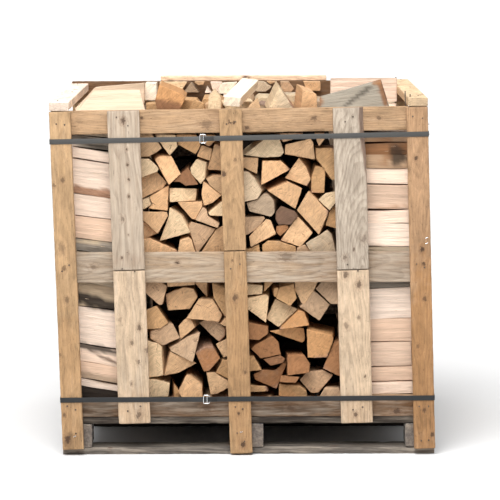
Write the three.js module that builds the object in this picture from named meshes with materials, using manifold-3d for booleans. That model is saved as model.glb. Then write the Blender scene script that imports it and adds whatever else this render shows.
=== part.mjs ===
// A crate of split firewood on a pallet: a slatted softwood frame nailed round a block pallet, filled with
// logs and held by two flat straps. Millimetres, +X right, +Y to the back, +Z up, origin under the centre.
import * as THREE from "three";
import { mergeVertices } from "three/addons/utils/BufferGeometryUtils.js";
import Module from "manifold-3d";

// Driving dimensions of the pallet.
const PALLET_WIDTH = 1200;
const PALLET_DEPTH = 1000;
const BOARD = 22;
const PALLET_BOARD_WIDTH = 95;
const BLOCK_HEIGHT = 78;
const DECK_BOARD = 18;
const DECK_BOARD_COUNT = 7;

// Driving dimensions of the slatted frame.
const FRAME_TOP = 1116;
const BACK_RISE = 30;
const POST_THICKNESS = 24;
const POST_WIDTH = 68;
const CENTRE_POST_WIDTH = 72;
const SLAT_WIDTH = 102;
const SIDE_BOARD = 18;
const SIDE_SLAT_WIDTH = 95;
const CAP_WIDTH = 62;
const CAP_THICKNESS = 28;
const PLANK_LENGTH = 590;
const PLANK_WIDTH = 46;
const PLANK_THICKNESS = 18;
const PLANK_X = 15;
const TOP_RAIL_HEIGHT = 76;
const MIDDLE_RAIL_HEIGHT = 98;
const BOTTOM_RAIL_HEIGHT = 58;
const MIDDLE_RAIL_Z = 608;
const LEFT_SLAT_X = -365;
const RIGHT_SLAT_X = 350;
const CENTRE_POST_X = -25;
const SLAT_JOINT_Z = 602;
const CENTRE_JOINT_Z = 664;
const SLAT_FOOT_Z = 105;
const CORNER_FOOT_Z = 20;
const CENTRE_FOOT_Z = 6;
const RACK_DEGREES = 1.6;
const TOP_RAIL_TILT_DEGREES = 0.6;
const WANE_DEPTH = 14;

// Driving dimensions of the straps and their wire buckles.
const STRAP_WIDTH = 16;
const STRAP_THICKNESS = 1.2;
const STRAP_CORNER = 2;
const UPPER_STRAP_Z = 1025;
const UPPER_STRAP_TILT_DEGREES = 1.05;
const LOWER_STRAP_Z = 185;
const BUCKLE_WIDTH = 24;
const BUCKLE_HEIGHT = 30;
const BUCKLE_WIRE = 3.5;

// Driving dimensions of the logs and of how they are stacked.
const LOG_LENGTH = 225;
const STACK_FRONT = 471;
const SWELL = 6;
const END_STEP = 16;
const END_INSET = 4;
const BODY_SETBACK = 36;
const END_ROOT = 5;
const BEARING = 0.4;
const SHARPEST_MITRE = 0.4;
const SIDE_STACK_OUTER = 548;
const SIDE_STACK_INNER = 343;
const SIDE_FILE_DEPTH = 98;

const GAP = 0.3;

// Heights and planes that follow from them.
const BLOCK_FOOT = BOARD;
const STRINGER_FOOT = BOARD + BLOCK_HEIGHT;
const DECK_FOOT = STRINGER_FOOT + BOARD;
const DECK_TOP = DECK_FOOT + DECK_BOARD;
const FRAME_HALF_DEPTH = PALLET_DEPTH / 2;
const RAIL_PLANE = FRAME_HALF_DEPTH - BOARD / 2;
const RAIL_INNER = FRAME_HALF_DEPTH - BOARD;
const POST_PLANE = FRAME_HALF_DEPTH + POST_THICKNESS / 2;
const OUTER_PLANE = FRAME_HALF_DEPTH + POST_THICKNESS;
const HALF_WIDTH = PALLET_WIDTH / 2;
const CORNER_POST_X = HALF_WIDTH - POST_WIDTH / 2;
const SIDE_SLAT_PLANE = HALF_WIDTH - SIDE_BOARD / 2;
const SIDE_RAIL_PLANE = HALF_WIDTH - SIDE_BOARD * 1.5;
const TOP_RAIL_Z = FRAME_TOP - TOP_RAIL_HEIGHT / 2;
const BOTTOM_RAIL_Z = DECK_FOOT + BOTTOM_RAIL_HEIGHT / 2;
const STACK_FOOT = DECK_TOP + GAP;
const SIDE_STACK = { foot: STACK_FOOT, head: 1094, sink: 22 };
const BACK_STACK = { left: -308, right: 308, foot: STACK_FOOT, head: 1110, sink: 24 };
const INNER_STACK = { ...BACK_STACK, head: 1136, sink: 30 };
const BACK_TOP = FRAME_TOP + BACK_RISE;
const RACK = THREE.MathUtils.degToRad(RACK_DEGREES);
const TOP_RAIL_TILT = THREE.MathUtils.degToRad(TOP_RAIL_TILT_DEGREES);

// The crate has racked to the left: how far a level has moved sideways from the middle of its height.
const rackAt = (z) => Math.tan(RACK) * (FRAME_TOP / 2 - z);

// The front top rail rises to the right, and the posts and caps at its ends follow it.
const frontTopAt = (x) => FRAME_TOP + x * Math.tan(TOP_RAIL_TILT);

const wasm = await Module();
wasm.setup();

const material = (color, roughness, metalness = 0) =>
  new THREE.MeshStandardMaterial({ color, roughness, metalness });
const MATERIALS = {
  palletWood: material(0x7d766c, 0.9),
  postWood: material(0xc4a27a, 0.85),
  slatWood: material(0xc9b79d, 0.85),
  railWood: material(0xb89b78, 0.85),
  logWood: material(0xd9b58a, 0.8),
  barkLog: material(0x9a9184, 0.9),
  strap: material(0x595c5e, 0.45),
  buckle: material(0xb9bcbe, 0.35, 1),
};

const firewood = new THREE.Group();

function addMesh(name, geometry, surface, position = [0, 0, 0], turn = [0, 0, 0]) {
  const mesh = new THREE.Mesh(geometry, MATERIALS[surface].clone());
  mesh.name = name;
  mesh.position.set(...position);
  mesh.rotation.set(...turn);
  firewood.add(mesh);
  return mesh;
}

// Solids for joining and cutting, and the way back to a geometry.
function solidFrom(geometry) {
  const bare = geometry.clone();
  bare.deleteAttribute("normal");
  bare.deleteAttribute("uv");
  const merged = mergeVertices(bare, 1e-4);
  return new wasm.Manifold(
    new wasm.Mesh({
      numProp: 3,
      vertProperties: merged.attributes.position.array,
      triVerts: new Uint32Array(merged.index.array),
    }),
  );
}

function geometryFrom(solid) {
  const { vertProperties, triVerts } = withMergedFaces(solid).getMesh();
  const geometry = new THREE.BufferGeometry();
  geometry.setAttribute("position", new THREE.BufferAttribute(vertProperties, 3));
  geometry.setIndex(new THREE.BufferAttribute(triVerts, 1));
  geometry.computeVertexNormals();
  return geometry;
}

const joined = (solids) => solids.reduce((whole, solid) => whole.add(solid));
const withMergedFaces = (solid) => solid.asOriginal().simplify(0.02);

// A repeatable source of numbers from 0 to 1.
function seededRandom(seed) {
  let state = seed;
  return () => {
    state = (state * 1664525 + 1013904223) % 4294967296;
    return state / 4294967296;
  };
}

// The pallet: three skids, nine blocks, and a deck of boards nailed across three stringers.
function buildPallet() {
  const x = rackAt(DECK_FOOT / 2);
  const rowOffset = (PALLET_DEPTH - PALLET_BOARD_WIDTH) / 2;
  const columnOffset = (PALLET_WIDTH - PALLET_BOARD_WIDTH) / 2;
  const rows = [["front", -rowOffset], ["middle", 0], ["back", rowOffset]];
  const columns = [["left", -columnOffset], ["centre", 0], ["right", columnOffset]];
  const runner = new THREE.BoxGeometry(PALLET_WIDTH, PALLET_BOARD_WIDTH, BOARD);
  const block = new THREE.BoxGeometry(PALLET_BOARD_WIDTH, PALLET_BOARD_WIDTH, BLOCK_HEIGHT - 2 * GAP);
  for (const [row, y] of rows) {
    addMesh(`skid_${row}`, runner, "palletWood", [x, y, BOARD / 2]);
    for (const [column, offset] of columns) {
      addMesh(`block_${row}_${column}`, block, "palletWood", [x + offset, y, BLOCK_FOOT + BLOCK_HEIGHT / 2]);
    }
  }
  const bite = 0.2;
  const deckLength = PALLET_DEPTH - 2 * BOARD - 2;
  const deckSpan = PALLET_WIDTH - 4 * SIDE_BOARD - PALLET_BOARD_WIDTH - 12;
  const boards = rows.map(([, y]) => runner.clone().translate(0, y, STRINGER_FOOT + BOARD / 2));
  for (let i = 0; i < DECK_BOARD_COUNT; i++) {
    const board = new THREE.BoxGeometry(PALLET_BOARD_WIDTH, deckLength, DECK_BOARD + bite);
    const across = deckSpan * (i / (DECK_BOARD_COUNT - 1) - 0.5);
    boards.push(board.translate(across, 0, DECK_TOP - (DECK_BOARD + bite) / 2));
  }
  const deck = geometryFrom(joined(boards.map(solidFrom)));
  addMesh("pallet_deck", deck, "palletWood", [x, 0, 0]);
}

// An upright board in the racked frame, on the front or the back, from foot to head.
function addUpright(name, surface, { width, x, face, foot, head }) {
  const middle = (foot + head) / 2;
  const geometry = new THREE.BoxGeometry(width, POST_THICKNESS - GAP, head - foot);
  return addMesh(name, geometry, surface, [x + rackAt(middle), face * POST_PLANE, middle], [0, -RACK, 0]);
}

// The front: corner posts, a centre post in two lengths, two slats in two lengths and three rails.
function buildFront() {
  const face = -1;
  for (const [side, x] of [["left", -CORNER_POST_X], ["right", CORNER_POST_X]]) {
    const place = { width: POST_WIDTH, x, face, foot: CORNER_FOOT_Z, head: frontTopAt(x) };
    addUpright(`post_front_${side}`, "postWood", place);
  }
  const centre = { width: CENTRE_POST_WIDTH, x: CENTRE_POST_X, face };
  const centreUpper = { ...centre, foot: CENTRE_JOINT_Z + 1, head: FRAME_TOP };
  const centreLower = { ...centre, foot: CENTRE_FOOT_Z, head: CENTRE_JOINT_Z - 1 };
  addUpright("post_front_centre_upper", "postWood", centreUpper);
  addUpright("post_front_centre_lower", "postWood", centreLower);
  for (const [side, x] of [["left", LEFT_SLAT_X], ["right", RIGHT_SLAT_X]]) {
    const slat = { width: SLAT_WIDTH, x, face };
    const upper = { ...slat, foot: SLAT_JOINT_Z + 1, head: frontTopAt(x) };
    const lower = { ...slat, foot: SLAT_FOOT_Z, head: SLAT_JOINT_Z - 1 };
    const mesh = addUpright(`slat_front_${side}_upper`, "slatWood", upper);
    if (side === "right") mesh.geometry = withWane(mesh.geometry, upper.head - upper.foot);
    addUpright(`slat_front_${side}_lower`, "slatWood", lower);
  }
  addRails("front", -RAIL_PLANE, TOP_RAIL_Z, TOP_RAIL_TILT);
}

// A board sawn from the edge of the trunk: its front right edge runs out in a sloping waney face.
function withWane(geometry, height) {
  const reach = 60;
  const cutter = new THREE.BoxGeometry(reach, reach, height * 1.2);
  const slope = Math.atan2(WANE_DEPTH * 1.6, height);
  cutter.translate(reach / 2, 0, 0).rotateZ(-Math.PI / 3).rotateY(-slope);
  cutter.translate((SLAT_WIDTH - WANE_DEPTH) / 2, -POST_THICKNESS / 2, 0);
  return geometryFrom(solidFrom(geometry).subtract(solidFrom(cutter)));
}

// Three rails across the front or the back, nailed behind the posts and slats.
function addRails(side, y, topZ, topTilt) {
  const length = PALLET_WIDTH - 6;
  const rails = [
    ["top", TOP_RAIL_HEIGHT, topZ, topTilt],
    ["middle", MIDDLE_RAIL_HEIGHT, MIDDLE_RAIL_Z, 0],
    ["bottom", BOTTOM_RAIL_HEIGHT, BOTTOM_RAIL_Z + GAP, 0],
  ];
  for (const [level, height, z, tilt] of rails) {
    const geometry = new THREE.BoxGeometry(length, BOARD - GAP, height);
    addMesh(`rail_${side}_${level}`, geometry, "railWood", [rackAt(z), y, z], [0, -tilt, 0]);
  }
}

// The back: corner posts, one centre post, two slats, three rails and a plank laid along the top.
function buildBack() {
  const upright = { face: 1, head: BACK_TOP - 4 };
  const post = { ...upright, width: POST_WIDTH, foot: CORNER_FOOT_Z };
  const centre = { ...upright, width: CENTRE_POST_WIDTH, foot: CENTRE_FOOT_Z, x: -CENTRE_POST_X };
  const slat = { ...upright, width: SLAT_WIDTH, foot: SLAT_FOOT_Z };
  addUpright("post_back_left", "postWood", { ...post, x: -CORNER_POST_X });
  addUpright("post_back_right", "postWood", { ...post, x: CORNER_POST_X });
  addUpright("post_back_centre", "postWood", centre);
  addUpright("slat_back_left", "slatWood", { ...slat, x: LEFT_SLAT_X });
  addUpright("slat_back_right", "slatWood", { ...slat, x: -LEFT_SLAT_X });
  addRails("back", RAIL_PLANE, TOP_RAIL_Z + BACK_RISE, 0);
  const plank = new THREE.BoxGeometry(PLANK_LENGTH, PLANK_WIDTH, PLANK_THICKNESS);
  const z = BACK_TOP + GAP + PLANK_THICKNESS / 2;
  addMesh("plank_back_top", plank, "railWood", [PLANK_X + rackAt(z), OUTER_PLANE - PLANK_WIDTH / 2, z]);
}

// A side: a cap board laid flat along the top, two rails, and a slat nailed outside them.
function buildSide(side, sign) {
  const capFoot = frontTopAt(sign * CORNER_POST_X) + 1.5;
  const capFront = 2 - OUTER_PLANE;
  const capBack = RAIL_INNER - 1;
  const cap = new THREE.BoxGeometry(CAP_WIDTH, capBack - capFront, CAP_THICKNESS);
  const capX = sign * (HALF_WIDTH - CAP_WIDTH / 2) + rackAt(capFoot);
  addMesh(`cap_${side}`, cap, "postWood", [capX, (capFront + capBack) / 2, capFoot + CAP_THICKNESS / 2]);
  const rails = [
    ["middle", MIDDLE_RAIL_HEIGHT, MIDDLE_RAIL_Z],
    ["bottom", BOTTOM_RAIL_HEIGHT, BOTTOM_RAIL_Z + GAP],
  ];
  for (const [level, height, z] of rails) {
    const rail = new THREE.BoxGeometry(SIDE_BOARD - 2, 2 * RAIL_INNER - 2, height);
    addMesh(`rail_${side}_${level}`, rail, "railWood", [sign * SIDE_RAIL_PLANE + rackAt(z), 0, z]);
  }
  const foot = DECK_FOOT + 1;
  const head = capFoot - 0.8;
  const middle = (foot + head) / 2;
  const slat = new THREE.BoxGeometry(SIDE_BOARD - 3, SIDE_SLAT_WIDTH, head - foot);
  const slatX = sign * SIDE_SLAT_PLANE + rackAt(middle);
  addMesh(`slat_${side}`, slat, "slatWood", [slatX, 0, middle], [0, -RACK, 0]);
}

// A flat strap tensioned round the whole frame, and the wire buckle that holds its ends at the front.
function addStrap(level, z, tiltDegrees, buckleX) {
  const halfX = HALF_WIDTH + 1;
  const halfY = OUTER_PLANE + GAP;
  const loop = roundedRectangle(halfX + STRAP_THICKNESS, halfY + STRAP_THICKNESS, STRAP_CORNER);
  loop.holes.push(roundedRectangle(halfX, halfY, STRAP_CORNER - STRAP_THICKNESS));
  const flat = { bevelEnabled: false, curveSegments: 2 };
  const band = new THREE.ExtrudeGeometry(loop, { ...flat, depth: STRAP_WIDTH });
  const tilt = THREE.MathUtils.degToRad(tiltDegrees);
  band.translate(0, 0, -STRAP_WIDTH / 2);
  addMesh(`strap_${level}`, band, "strap", [rackAt(z), 0, z], [0, -tilt, 0]);

  const wire = roundedRectangle(BUCKLE_WIDTH / 2, BUCKLE_HEIGHT / 2, 4);
  wire.holes.push(roundedRectangle(BUCKLE_WIDTH / 2 - BUCKLE_WIRE, BUCKLE_HEIGHT / 2 - BUCKLE_WIRE, 2));
  const buckle = new THREE.ExtrudeGeometry(wire, { ...flat, depth: BUCKLE_WIRE });
  buckle.rotateX(Math.PI / 2);
  const buckleZ = z + (buckleX - rackAt(z)) * Math.tan(tilt);
  const y = -(OUTER_PLANE + STRAP_THICKNESS + 2 * GAP);
  addMesh(`buckle_${level}`, buckle, "buckle", [buckleX, y, buckleZ]);
}

function roundedRectangle(halfX, halfY, radius) {
  const shape = new THREE.Shape();
  shape.absarc(halfX - radius, halfY - radius, radius, 0, Math.PI / 2);
  shape.absarc(radius - halfX, halfY - radius, radius, Math.PI / 2, Math.PI);
  shape.absarc(radius - halfX, radius - halfY, radius, Math.PI, 1.5 * Math.PI);
  shape.absarc(halfX - radius, radius - halfY, radius, 1.5 * Math.PI, 2 * Math.PI);
  shape.closePath();
  return shape;
}

// Outlines of the sawn ends that face the front, as [x, z] corners, bay by bay, from the top down.
const FRONT_LOGS = {
  upper_left: [
    [[-182, 1094], [-122, 1094], [-128, 1128], [-156, 1142]],
    [[-112, 1094], [-72, 1094], [-72, 1150], [-90, 1172], [-110, 1150]],
    [[-340, 1034], [-292, 1034], [-260, 988], [-300, 963], [-340, 957]],
    [[-284, 1032], [-218, 1030], [-212, 993], [-236, 964]],
    [[-213, 1030], [-150, 1030], [-137, 996], [-153, 968], [-206, 998]],
    [[-134, 996], [-148, 960], [-108, 947], [-101, 984]],
    [[-140, 1030], [-138, 1010], [-110, 993], [-85, 1015], [-90, 1030]],
    [[-92, 998], [-115, 917], [-60, 913], [-52, 985]],
    [[-340, 953], [-300, 953], [-271, 924], [-275, 914], [-340, 890]],
    [[-281, 950], [-268, 961], [-230, 961], [-201, 905], [-238, 872]],
    [[-340, 885], [-280, 911], [-247, 874], [-260, 857], [-340, 817]],
    [[-178, 924], [-147, 872], [-185, 868], [-203, 880], [-224, 880]],
    [[-150, 952], [-120, 940], [-124, 890], [-137, 873], [-167, 908], [-169, 925]],
    [[-340, 813], [-303, 826], [-296, 806], [-318, 792], [-340, 790]],
    [[-300, 830], [-240, 866], [-245, 787], [-303, 795], [-292, 808]],
    [[-237, 858], [-151, 855], [-155, 817], [-236, 815]],
    [[-128, 880], [-73, 835], [-100, 812], [-127, 803], [-134, 840]],
    [[-118, 889], [-95, 898], [-48, 898], [-48, 842], [-72, 838], [-107, 869]],
    [[-210, 812], [-135, 814], [-134, 799], [-156, 758], [-166, 759]],
    [[-340, 784], [-246, 783], [-243, 770], [-276, 714], [-340, 774]],
    [[-237, 795], [-200, 769], [-171, 717], [-270, 687], [-239, 770]],
    [[-340, 745], [-317, 747], [-281, 711], [-314, 696], [-340, 700]],
    [[-335, 693], [-300, 695], [-216, 655], [-217, 642], [-335, 642]],
    [[-204, 690], [-177, 700], [-168, 692], [-153, 642], [-212, 642]],
    [[-165, 751], [-91, 727], [-150, 646], [-174, 735]],
    [[-88, 725], [-64, 738], [-44, 733], [-44, 644], [-138, 646]],
    [[-112, 778], [-70, 813], [-52, 813], [-52, 769], [-107, 771]],
    [[-131, 797], [-119, 790], [-115, 769], [-78, 745], [-83, 733], [-154, 757]],
  ],
  upper_right: [
    [[4, 1094], [60, 1094], [46, 1148], [22, 1126]],
    [[182, 1094], [236, 1094], [233, 1158], [192, 1172]],
    [[5, 964], [72, 1016], [115, 1018], [130, 972], [119, 960], [60, 956]],
    [[134, 968], [135, 998], [214, 1017], [222, 1005], [228, 952]],
    [[128, 1007], [185, 1022], [190, 1034], [120, 1034]],
    [[241, 993], [258, 1015], [258, 1034], [227, 1034]],
    [[232, 985], [306, 985], [306, 888], [284, 884], [233, 956]],
    [[-12, 955], [47, 952], [43, 904], [-12, 930]],
    [[62, 944], [118, 945], [149, 918], [57, 869]],
    [[177, 953], [199, 925], [214, 886], [203, 864], [134, 888]],
    [[232, 927], [262, 921], [258, 842], [219, 842], [219, 890]],
    [[-12, 912], [12, 910], [33, 891], [57, 850], [44, 825], [-12, 814]],
    [[80, 850], [144, 877], [187, 856], [166, 791]],
    [[10, 811], [46, 821], [64, 840], [80, 836], [96, 818], [98, 780], [88, 767], [20, 784]],
    [[105, 782], [120, 800], [163, 784], [173, 768], [150, 742], [112, 740], [103, 758]],
    [[207, 848], [271, 782], [241, 709], [172, 787]],
    [[240, 821], [262, 841], [293, 846], [308, 830], [275, 788]],
    [[276, 780], [293, 798], [308, 798], [310, 724], [264, 737]],
    [[-12, 762], [64, 767], [68, 760], [44, 729], [14, 708], [-12, 707]],
    [[73, 759], [86, 755], [102, 712], [23, 670], [18, 703]],
    [[107, 734], [140, 740], [144, 728], [118, 704], [105, 716]],
    [[173, 766], [221, 713], [182, 669], [120, 689]],
    [[60, 678], [78, 690], [108, 688], [166, 668], [165, 646], [60, 646]],
    [[-12, 660], [20, 662], [48, 677], [54, 646], [-12, 646]],
    [[268, 722], [281, 708], [296, 646], [222, 646], [200, 680]],
    [[172, 664], [196, 675], [216, 652], [172, 646]],
  ],
  lower_left: [
    [[-326, 572], [-272, 560], [-249, 543], [-263, 484], [-272, 483], [-326, 530]],
    [[-250, 580], [-162, 580], [-159, 545], [-245, 540]],
    [[-158, 580], [-120, 580], [-120, 504], [-155, 547]],
    [[-101, 552], [-60, 535], [-40, 535], [-40, 447], [-62, 444], [-97, 505]],
    [[-253, 512], [-192, 537], [-163, 532], [-151, 505], [-175, 466], [-245, 460]],
    [[-145, 500], [-100, 497], [-72, 447], [-81, 425], [-184, 440]],
    [[-324, 460], [-282, 479], [-245, 424], [-270, 407], [-324, 402]],
    [[-301, 395], [-240, 420], [-228, 418], [-208, 375], [-262, 349], [-301, 370]],
    [[-211, 412], [-192, 433], [-173, 435], [-159, 408], [-205, 369]],
    [[-142, 391], [-180, 377], [-237, 340], [-235, 332], [-166, 295]],
    [[-237, 328], [-156, 289], [-212, 260], [-257, 251]],
    [[-322, 364], [-283, 356], [-268, 345], [-263, 250], [-322, 241]],
    [[-145, 417], [-122, 429], [-84, 421], [-60, 398], [-64, 376], [-80, 356]],
    [[-75, 418], [-53, 443], [-38, 443], [-38, 402]],
    [[-156, 325], [-128, 342], [-100, 344], [-78, 308], [-113, 268], [-129, 265]],
    [[-90, 353], [-52, 371], [-36, 371], [-36, 322], [-66, 310]],
    [[-90, 260], [-67, 302], [-34, 299], [-34, 239], [-49, 237]],
    [[-121, 261], [-96, 260], [-51, 230], [-53, 211], [-88, 191], [-108, 189]],
    [[-186, 251], [-172, 249], [-137, 219], [-136, 180], [-200, 180], [-212, 200]],
    [[-322, 236], [-284, 235], [-242, 222], [-247, 180], [-322, 180]],
    [[-226, 222], [-205, 188], [-207, 180], [-226, 180]],
  ],
  lower_right: [
    [[-10, 549], [60, 545], [58, 517], [-10, 511]],
    [[70, 580], [102, 580], [96, 557], [65, 524]],
    [[98, 536], [111, 537], [103, 506], [97, 510]],
    [[115, 537], [160, 548], [169, 503], [149, 478], [105, 503]],
    [[164, 580], [246, 580], [226, 530], [195, 482], [186, 485], [165, 530]],
    [[232, 532], [252, 554], [312, 558], [312, 484], [280, 484]],
    [[226, 525], [277, 479], [243, 427], [181, 472]],
    [[-10, 498], [70, 514], [79, 507], [70, 422], [18, 464], [-10, 472]],
    [[102, 494], [171, 462], [112, 405], [73, 431]],
    [[176, 462], [194, 455], [209, 415], [114, 402]],
    [[-8, 428], [77, 408], [77, 386], [48, 366], [-8, 374]],
    [[86, 393], [165, 405], [193, 400], [197, 361], [188, 354]],
    [[203, 401], [284, 381], [287, 364], [267, 308], [206, 309]],
    [[25, 334], [37, 349], [92, 376], [109, 361], [118, 319], [54, 305]],
    [[64, 302], [118, 315], [131, 305], [126, 293], [86, 282]],
    [[141, 317], [194, 317], [212, 288], [209, 261], [141, 251]],
    [[291, 356], [314, 360], [320, 248], [305, 247], [256, 271]],
    [[2, 310], [30, 311], [56, 267], [2, 261]],
    [[31, 250], [58, 264], [100, 262], [128, 288], [134, 280], [103, 202], [36, 233]],
    [[117, 248], [178, 245], [166, 227], [116, 228]],
    [[206, 257], [256, 261], [288, 246], [240, 188], [217, 188], [181, 230]],
    [[115, 217], [179, 214], [201, 196], [203, 178], [113, 178]],
    [[4, 216], [69, 212], [75, 198], [4, 195]],
    [[260, 208], [305, 206], [318, 178], [246, 182]],
  ],
};

// The front file of each side stack: heights of its logs from the foot up, and how they fall to the right.
const SIDE_FILES = {
  left: { heights: [80, 25, 55, 60, 122, 75, 52, 53, 40, 74, 70, 112, 37, 40, 58], slope: -0.12 },
  right: { heights: [50, 43, 48, 80, 77, 101, 22, 52, 55, 77, 45, 79, 52, 44, 40, 33, 55], slope: 0.01 },
};

// An outline with every edge moved outwards by the same distance.
function grownOutline(outline, growth) {
  const corners = outline.map(([u, v]) => new THREE.Vector2(u, v));
  const side = THREE.ShapeUtils.isClockWise(corners) ? -1 : 1;
  const normals = corners.map((corner, i) => {
    const edge = corners[(i + 1) % corners.length].clone().sub(corner).normalize();
    return new THREE.Vector2(side * edge.y, -side * edge.x);
  });
  return corners.map((corner, i) => {
    const before = normals.at(i - 1);
    const after = normals[i];
    const reach = growth / Math.max(SHARPEST_MITRE, 1 + before.dot(after));
    return [corner.x + (before.x + after.x) * reach, corner.y + (before.y + after.y) * reach];
  });
}

// A solid through rings of equal corner counts: each ring is an outline and its place along the axis.
function loft(rings, axis) {
  const count = rings[0].outline.length;
  const place = ([u, v], along) => (axis === "x" ? [along, u, v] : [u, along, v]);
  const flat = rings[0].outline.map(([u, v]) => new THREE.Vector2(u, v));
  const clockwise = THREE.ShapeUtils.isClockWise(flat);
  const positions = rings.flatMap(({ outline, along }) =>
    (clockwise ? outline.toReversed() : outline).flatMap((corner) => place(corner, along)),
  );
  const cap = THREE.ShapeUtils.triangulateShape(clockwise ? flat.toReversed() : flat, []);
  const last = (rings.length - 1) * count;
  const faces = cap.flatMap(([a, b, c]) => [[c, b, a], [last + a, last + b, last + c]]);
  for (let ring = 0; ring < last; ring += count) {
    for (let i = 0; i < count; i++) {
      const a = ring + i;
      const b = ring + ((i + 1) % count);
      faces.push([a, b, b + count], [a, b + count, a + count]);
    }
  }
  const geometry = new THREE.BufferGeometry();
  geometry.setAttribute("position", new THREE.Float32BufferAttribute(positions, 3));
  geometry.setIndex(faces.flatMap((face) => (axis === "x" ? face : face.reverse())));
  geometry.computeVertexNormals();
  return geometry;
}

const prism = (outline, axis, near, far) =>
  loft([{ outline, along: Math.min(near, far) }, { outline, along: Math.max(near, far) }], axis);

// Stacked logs as one solid: each sawn end stands out with its own outline, and behind the ends the bodies
// bear on each other, as far as the hidden ends. A log may slope along its length.
function stackSolid({ logs, axis, bodyPlane, hiddenEnd, endGrowth, bodyGrowth }) {
  const root = bodyPlane + END_ROOT * Math.sign(hiddenEnd - bodyPlane);
  const length = ({ outline, tip, slope = 0 }, growth, ends) => {
    const grown = grownOutline(outline, growth);
    const ring = (along) => ({ along, outline: grown.map(([u, v]) => [u, v + slope * (along - tip)]) });
    return loft(ends.toSorted((a, b) => a - b).map(ring), axis);
  };
  const bodies = logs.map((log) => length(log, bodyGrowth, [bodyPlane, hiddenEnd]));
  const ends = logs.map((log) => length(log, endGrowth, [root, log.tip]));
  return joined([...bodies, ...ends].map(solidFrom));
}

// Outlines of stacked courses that fill a rectangle with four-sided logs, alternately wide below and above.
function stackedCourses(seed, { left, right, foot, head, sink = 0 }, courseHeight, logWidth) {
  const random = seededRandom(seed);
  const jitter = (amount) => (random() - 0.5) * 2 * amount;
  const courses = Math.max(1, Math.round((head - foot) / courseHeight));
  const rise = (head - foot) / courses;
  const onLine = (line, x) => line[0] + ((line[1] - line[0]) * (x - left)) / (right - left);
  const outlines = [];
  let below = [foot, foot];
  for (let k = 1; k <= courses; k++) {
    const level = foot + rise * k;
    const top = k === courses;
    const above = top ? [head, head] : [level + jitter(rise * 0.2), level + jitter(rise * 0.2)];
    const count = Math.max(2, Math.round((right - left) / (logWidth * (0.85 + random() * 0.3))));
    const pitch = (right - left) / count;
    let start = [left, left];
    for (let i = 1; i <= count; i++) {
      const lean = (i % 2 === k % 2 ? 1 : -1) * pitch * (0.08 + random() * 0.26);
      const edge = left + pitch * i + jitter(pitch * 0.12);
      const end = i === count ? [right, right] : [edge + lean, edge - lean];
      const sunk = top ? random() * sink : 0;
      outlines.push([
        [start[0], onLine(below, start[0])],
        [end[0], onLine(below, end[0])],
        [end[1], onLine(above, end[1]) - sunk],
        [start[1], onLine(above, start[1]) - sunk],
      ]);
      start = end;
    }
    below = above;
  }
  return outlines;
}

// The whole stack leans with the racked frame.
function racked(solid) {
  const lean = Math.tan(RACK);
  const shear = new THREE.Matrix4().set(1, 0, -lean, rackAt(0), 0, 1, 0, 0, 0, 0, 1, 0, 0, 0, 0, 1);
  return geometryFrom(solid).applyMatrix4(shear);
}

// The logs whose sawn ends face the front, one node a bay; rows behind the rails close the stack.
function buildFrontLogs(sideStacks) {
  const random = seededRandom(11);
  const behindMiddle = { foot: 592, head: 640 };
  const behindTop = { foot: 1040, head: 1098, sink: 10 };
  const underFoot = { foot: STACK_FOOT + SWELL, head: 178 };
  const hidden = {
    upper_left: [{ left: -325, right: -46, ...behindMiddle }, { left: -338, right: -48, ...behindTop }],
    upper_right: [{ left: -12, right: 306, ...behindMiddle }, { left: -12, right: 305, ...behindTop }],
    lower_left: [{ left: -312, right: -36, ...underFoot }],
    lower_right: [{ left: -8, right: 325, ...underFoot }],
  };
  let taken = sideStacks;
  for (const [bay, outlines] of Object.entries(FRONT_LOGS)) {
    const rows = hidden[bay].flatMap((row, index) =>
      stackedCourses(31 + index, row, row.head - row.foot, 104).map((outline) => grownOutline(outline, -2)),
    );
    const logs = [...outlines, ...rows].map((outline) => ({
      outline,
      tip: random() * END_STEP - STACK_FRONT,
    }));
    const solid = (clearance) =>
      stackSolid({
        logs,
        axis: "y",
        bodyPlane: BODY_SETBACK - STACK_FRONT - clearance,
        hiddenEnd: LOG_LENGTH - STACK_FRONT + clearance,
        endGrowth: clearance,
        bodyGrowth: SWELL + clearance,
      });
    addMesh(`logs_front_${bay}`, geometryFrom(solid(0).subtract(taken)), "logWood");
    taken = taken.add(solid(2 * GAP));
  }
}

// The logs whose sawn ends face the back, and the two hidden rows between them and the front.
function buildBackLogs() {
  const random = seededRandom(23);
  const inward = STACK_FRONT - LOG_LENGTH;
  const back = stackSolid({
    logs: stackedCourses(41, BACK_STACK, 86, 92).map((outline) => ({
      outline,
      tip: STACK_FRONT - random() * END_STEP,
    })),
    axis: "y",
    bodyPlane: STACK_FRONT - BODY_SETBACK,
    hiddenEnd: inward,
    endGrowth: -END_INSET,
    bodyGrowth: BEARING,
  });
  addMesh("logs_back", racked(trimmed(back, BACK_STACK, "y")), "logWood");

  const reach = inward - 8;
  const rows = [-reach, reach].map((hiddenEnd) => {
    const logs = stackedCourses(71, INNER_STACK, 86, 92).map((outline) => ({ outline, tip: 0 }));
    return stackSolid({ logs, axis: "y", bodyPlane: 0, hiddenEnd, endGrowth: 0, bodyGrowth: BEARING });
  });
  addMesh("logs_inner", racked(trimmed(joined(rows), INNER_STACK, "y")), "logWood");
}

// A stack trimmed flush at its sides and foot, with its top left uneven.
function trimmed(solid, { left, right, foot }, axis) {
  const head = 2 * FRAME_TOP;
  const outline = [[left, foot], [right, foot], [right, head], [left, head]];
  return solid.intersect(solidFrom(prism(outline, axis, -PALLET_WIDTH, PALLET_WIDTH)));
}

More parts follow.
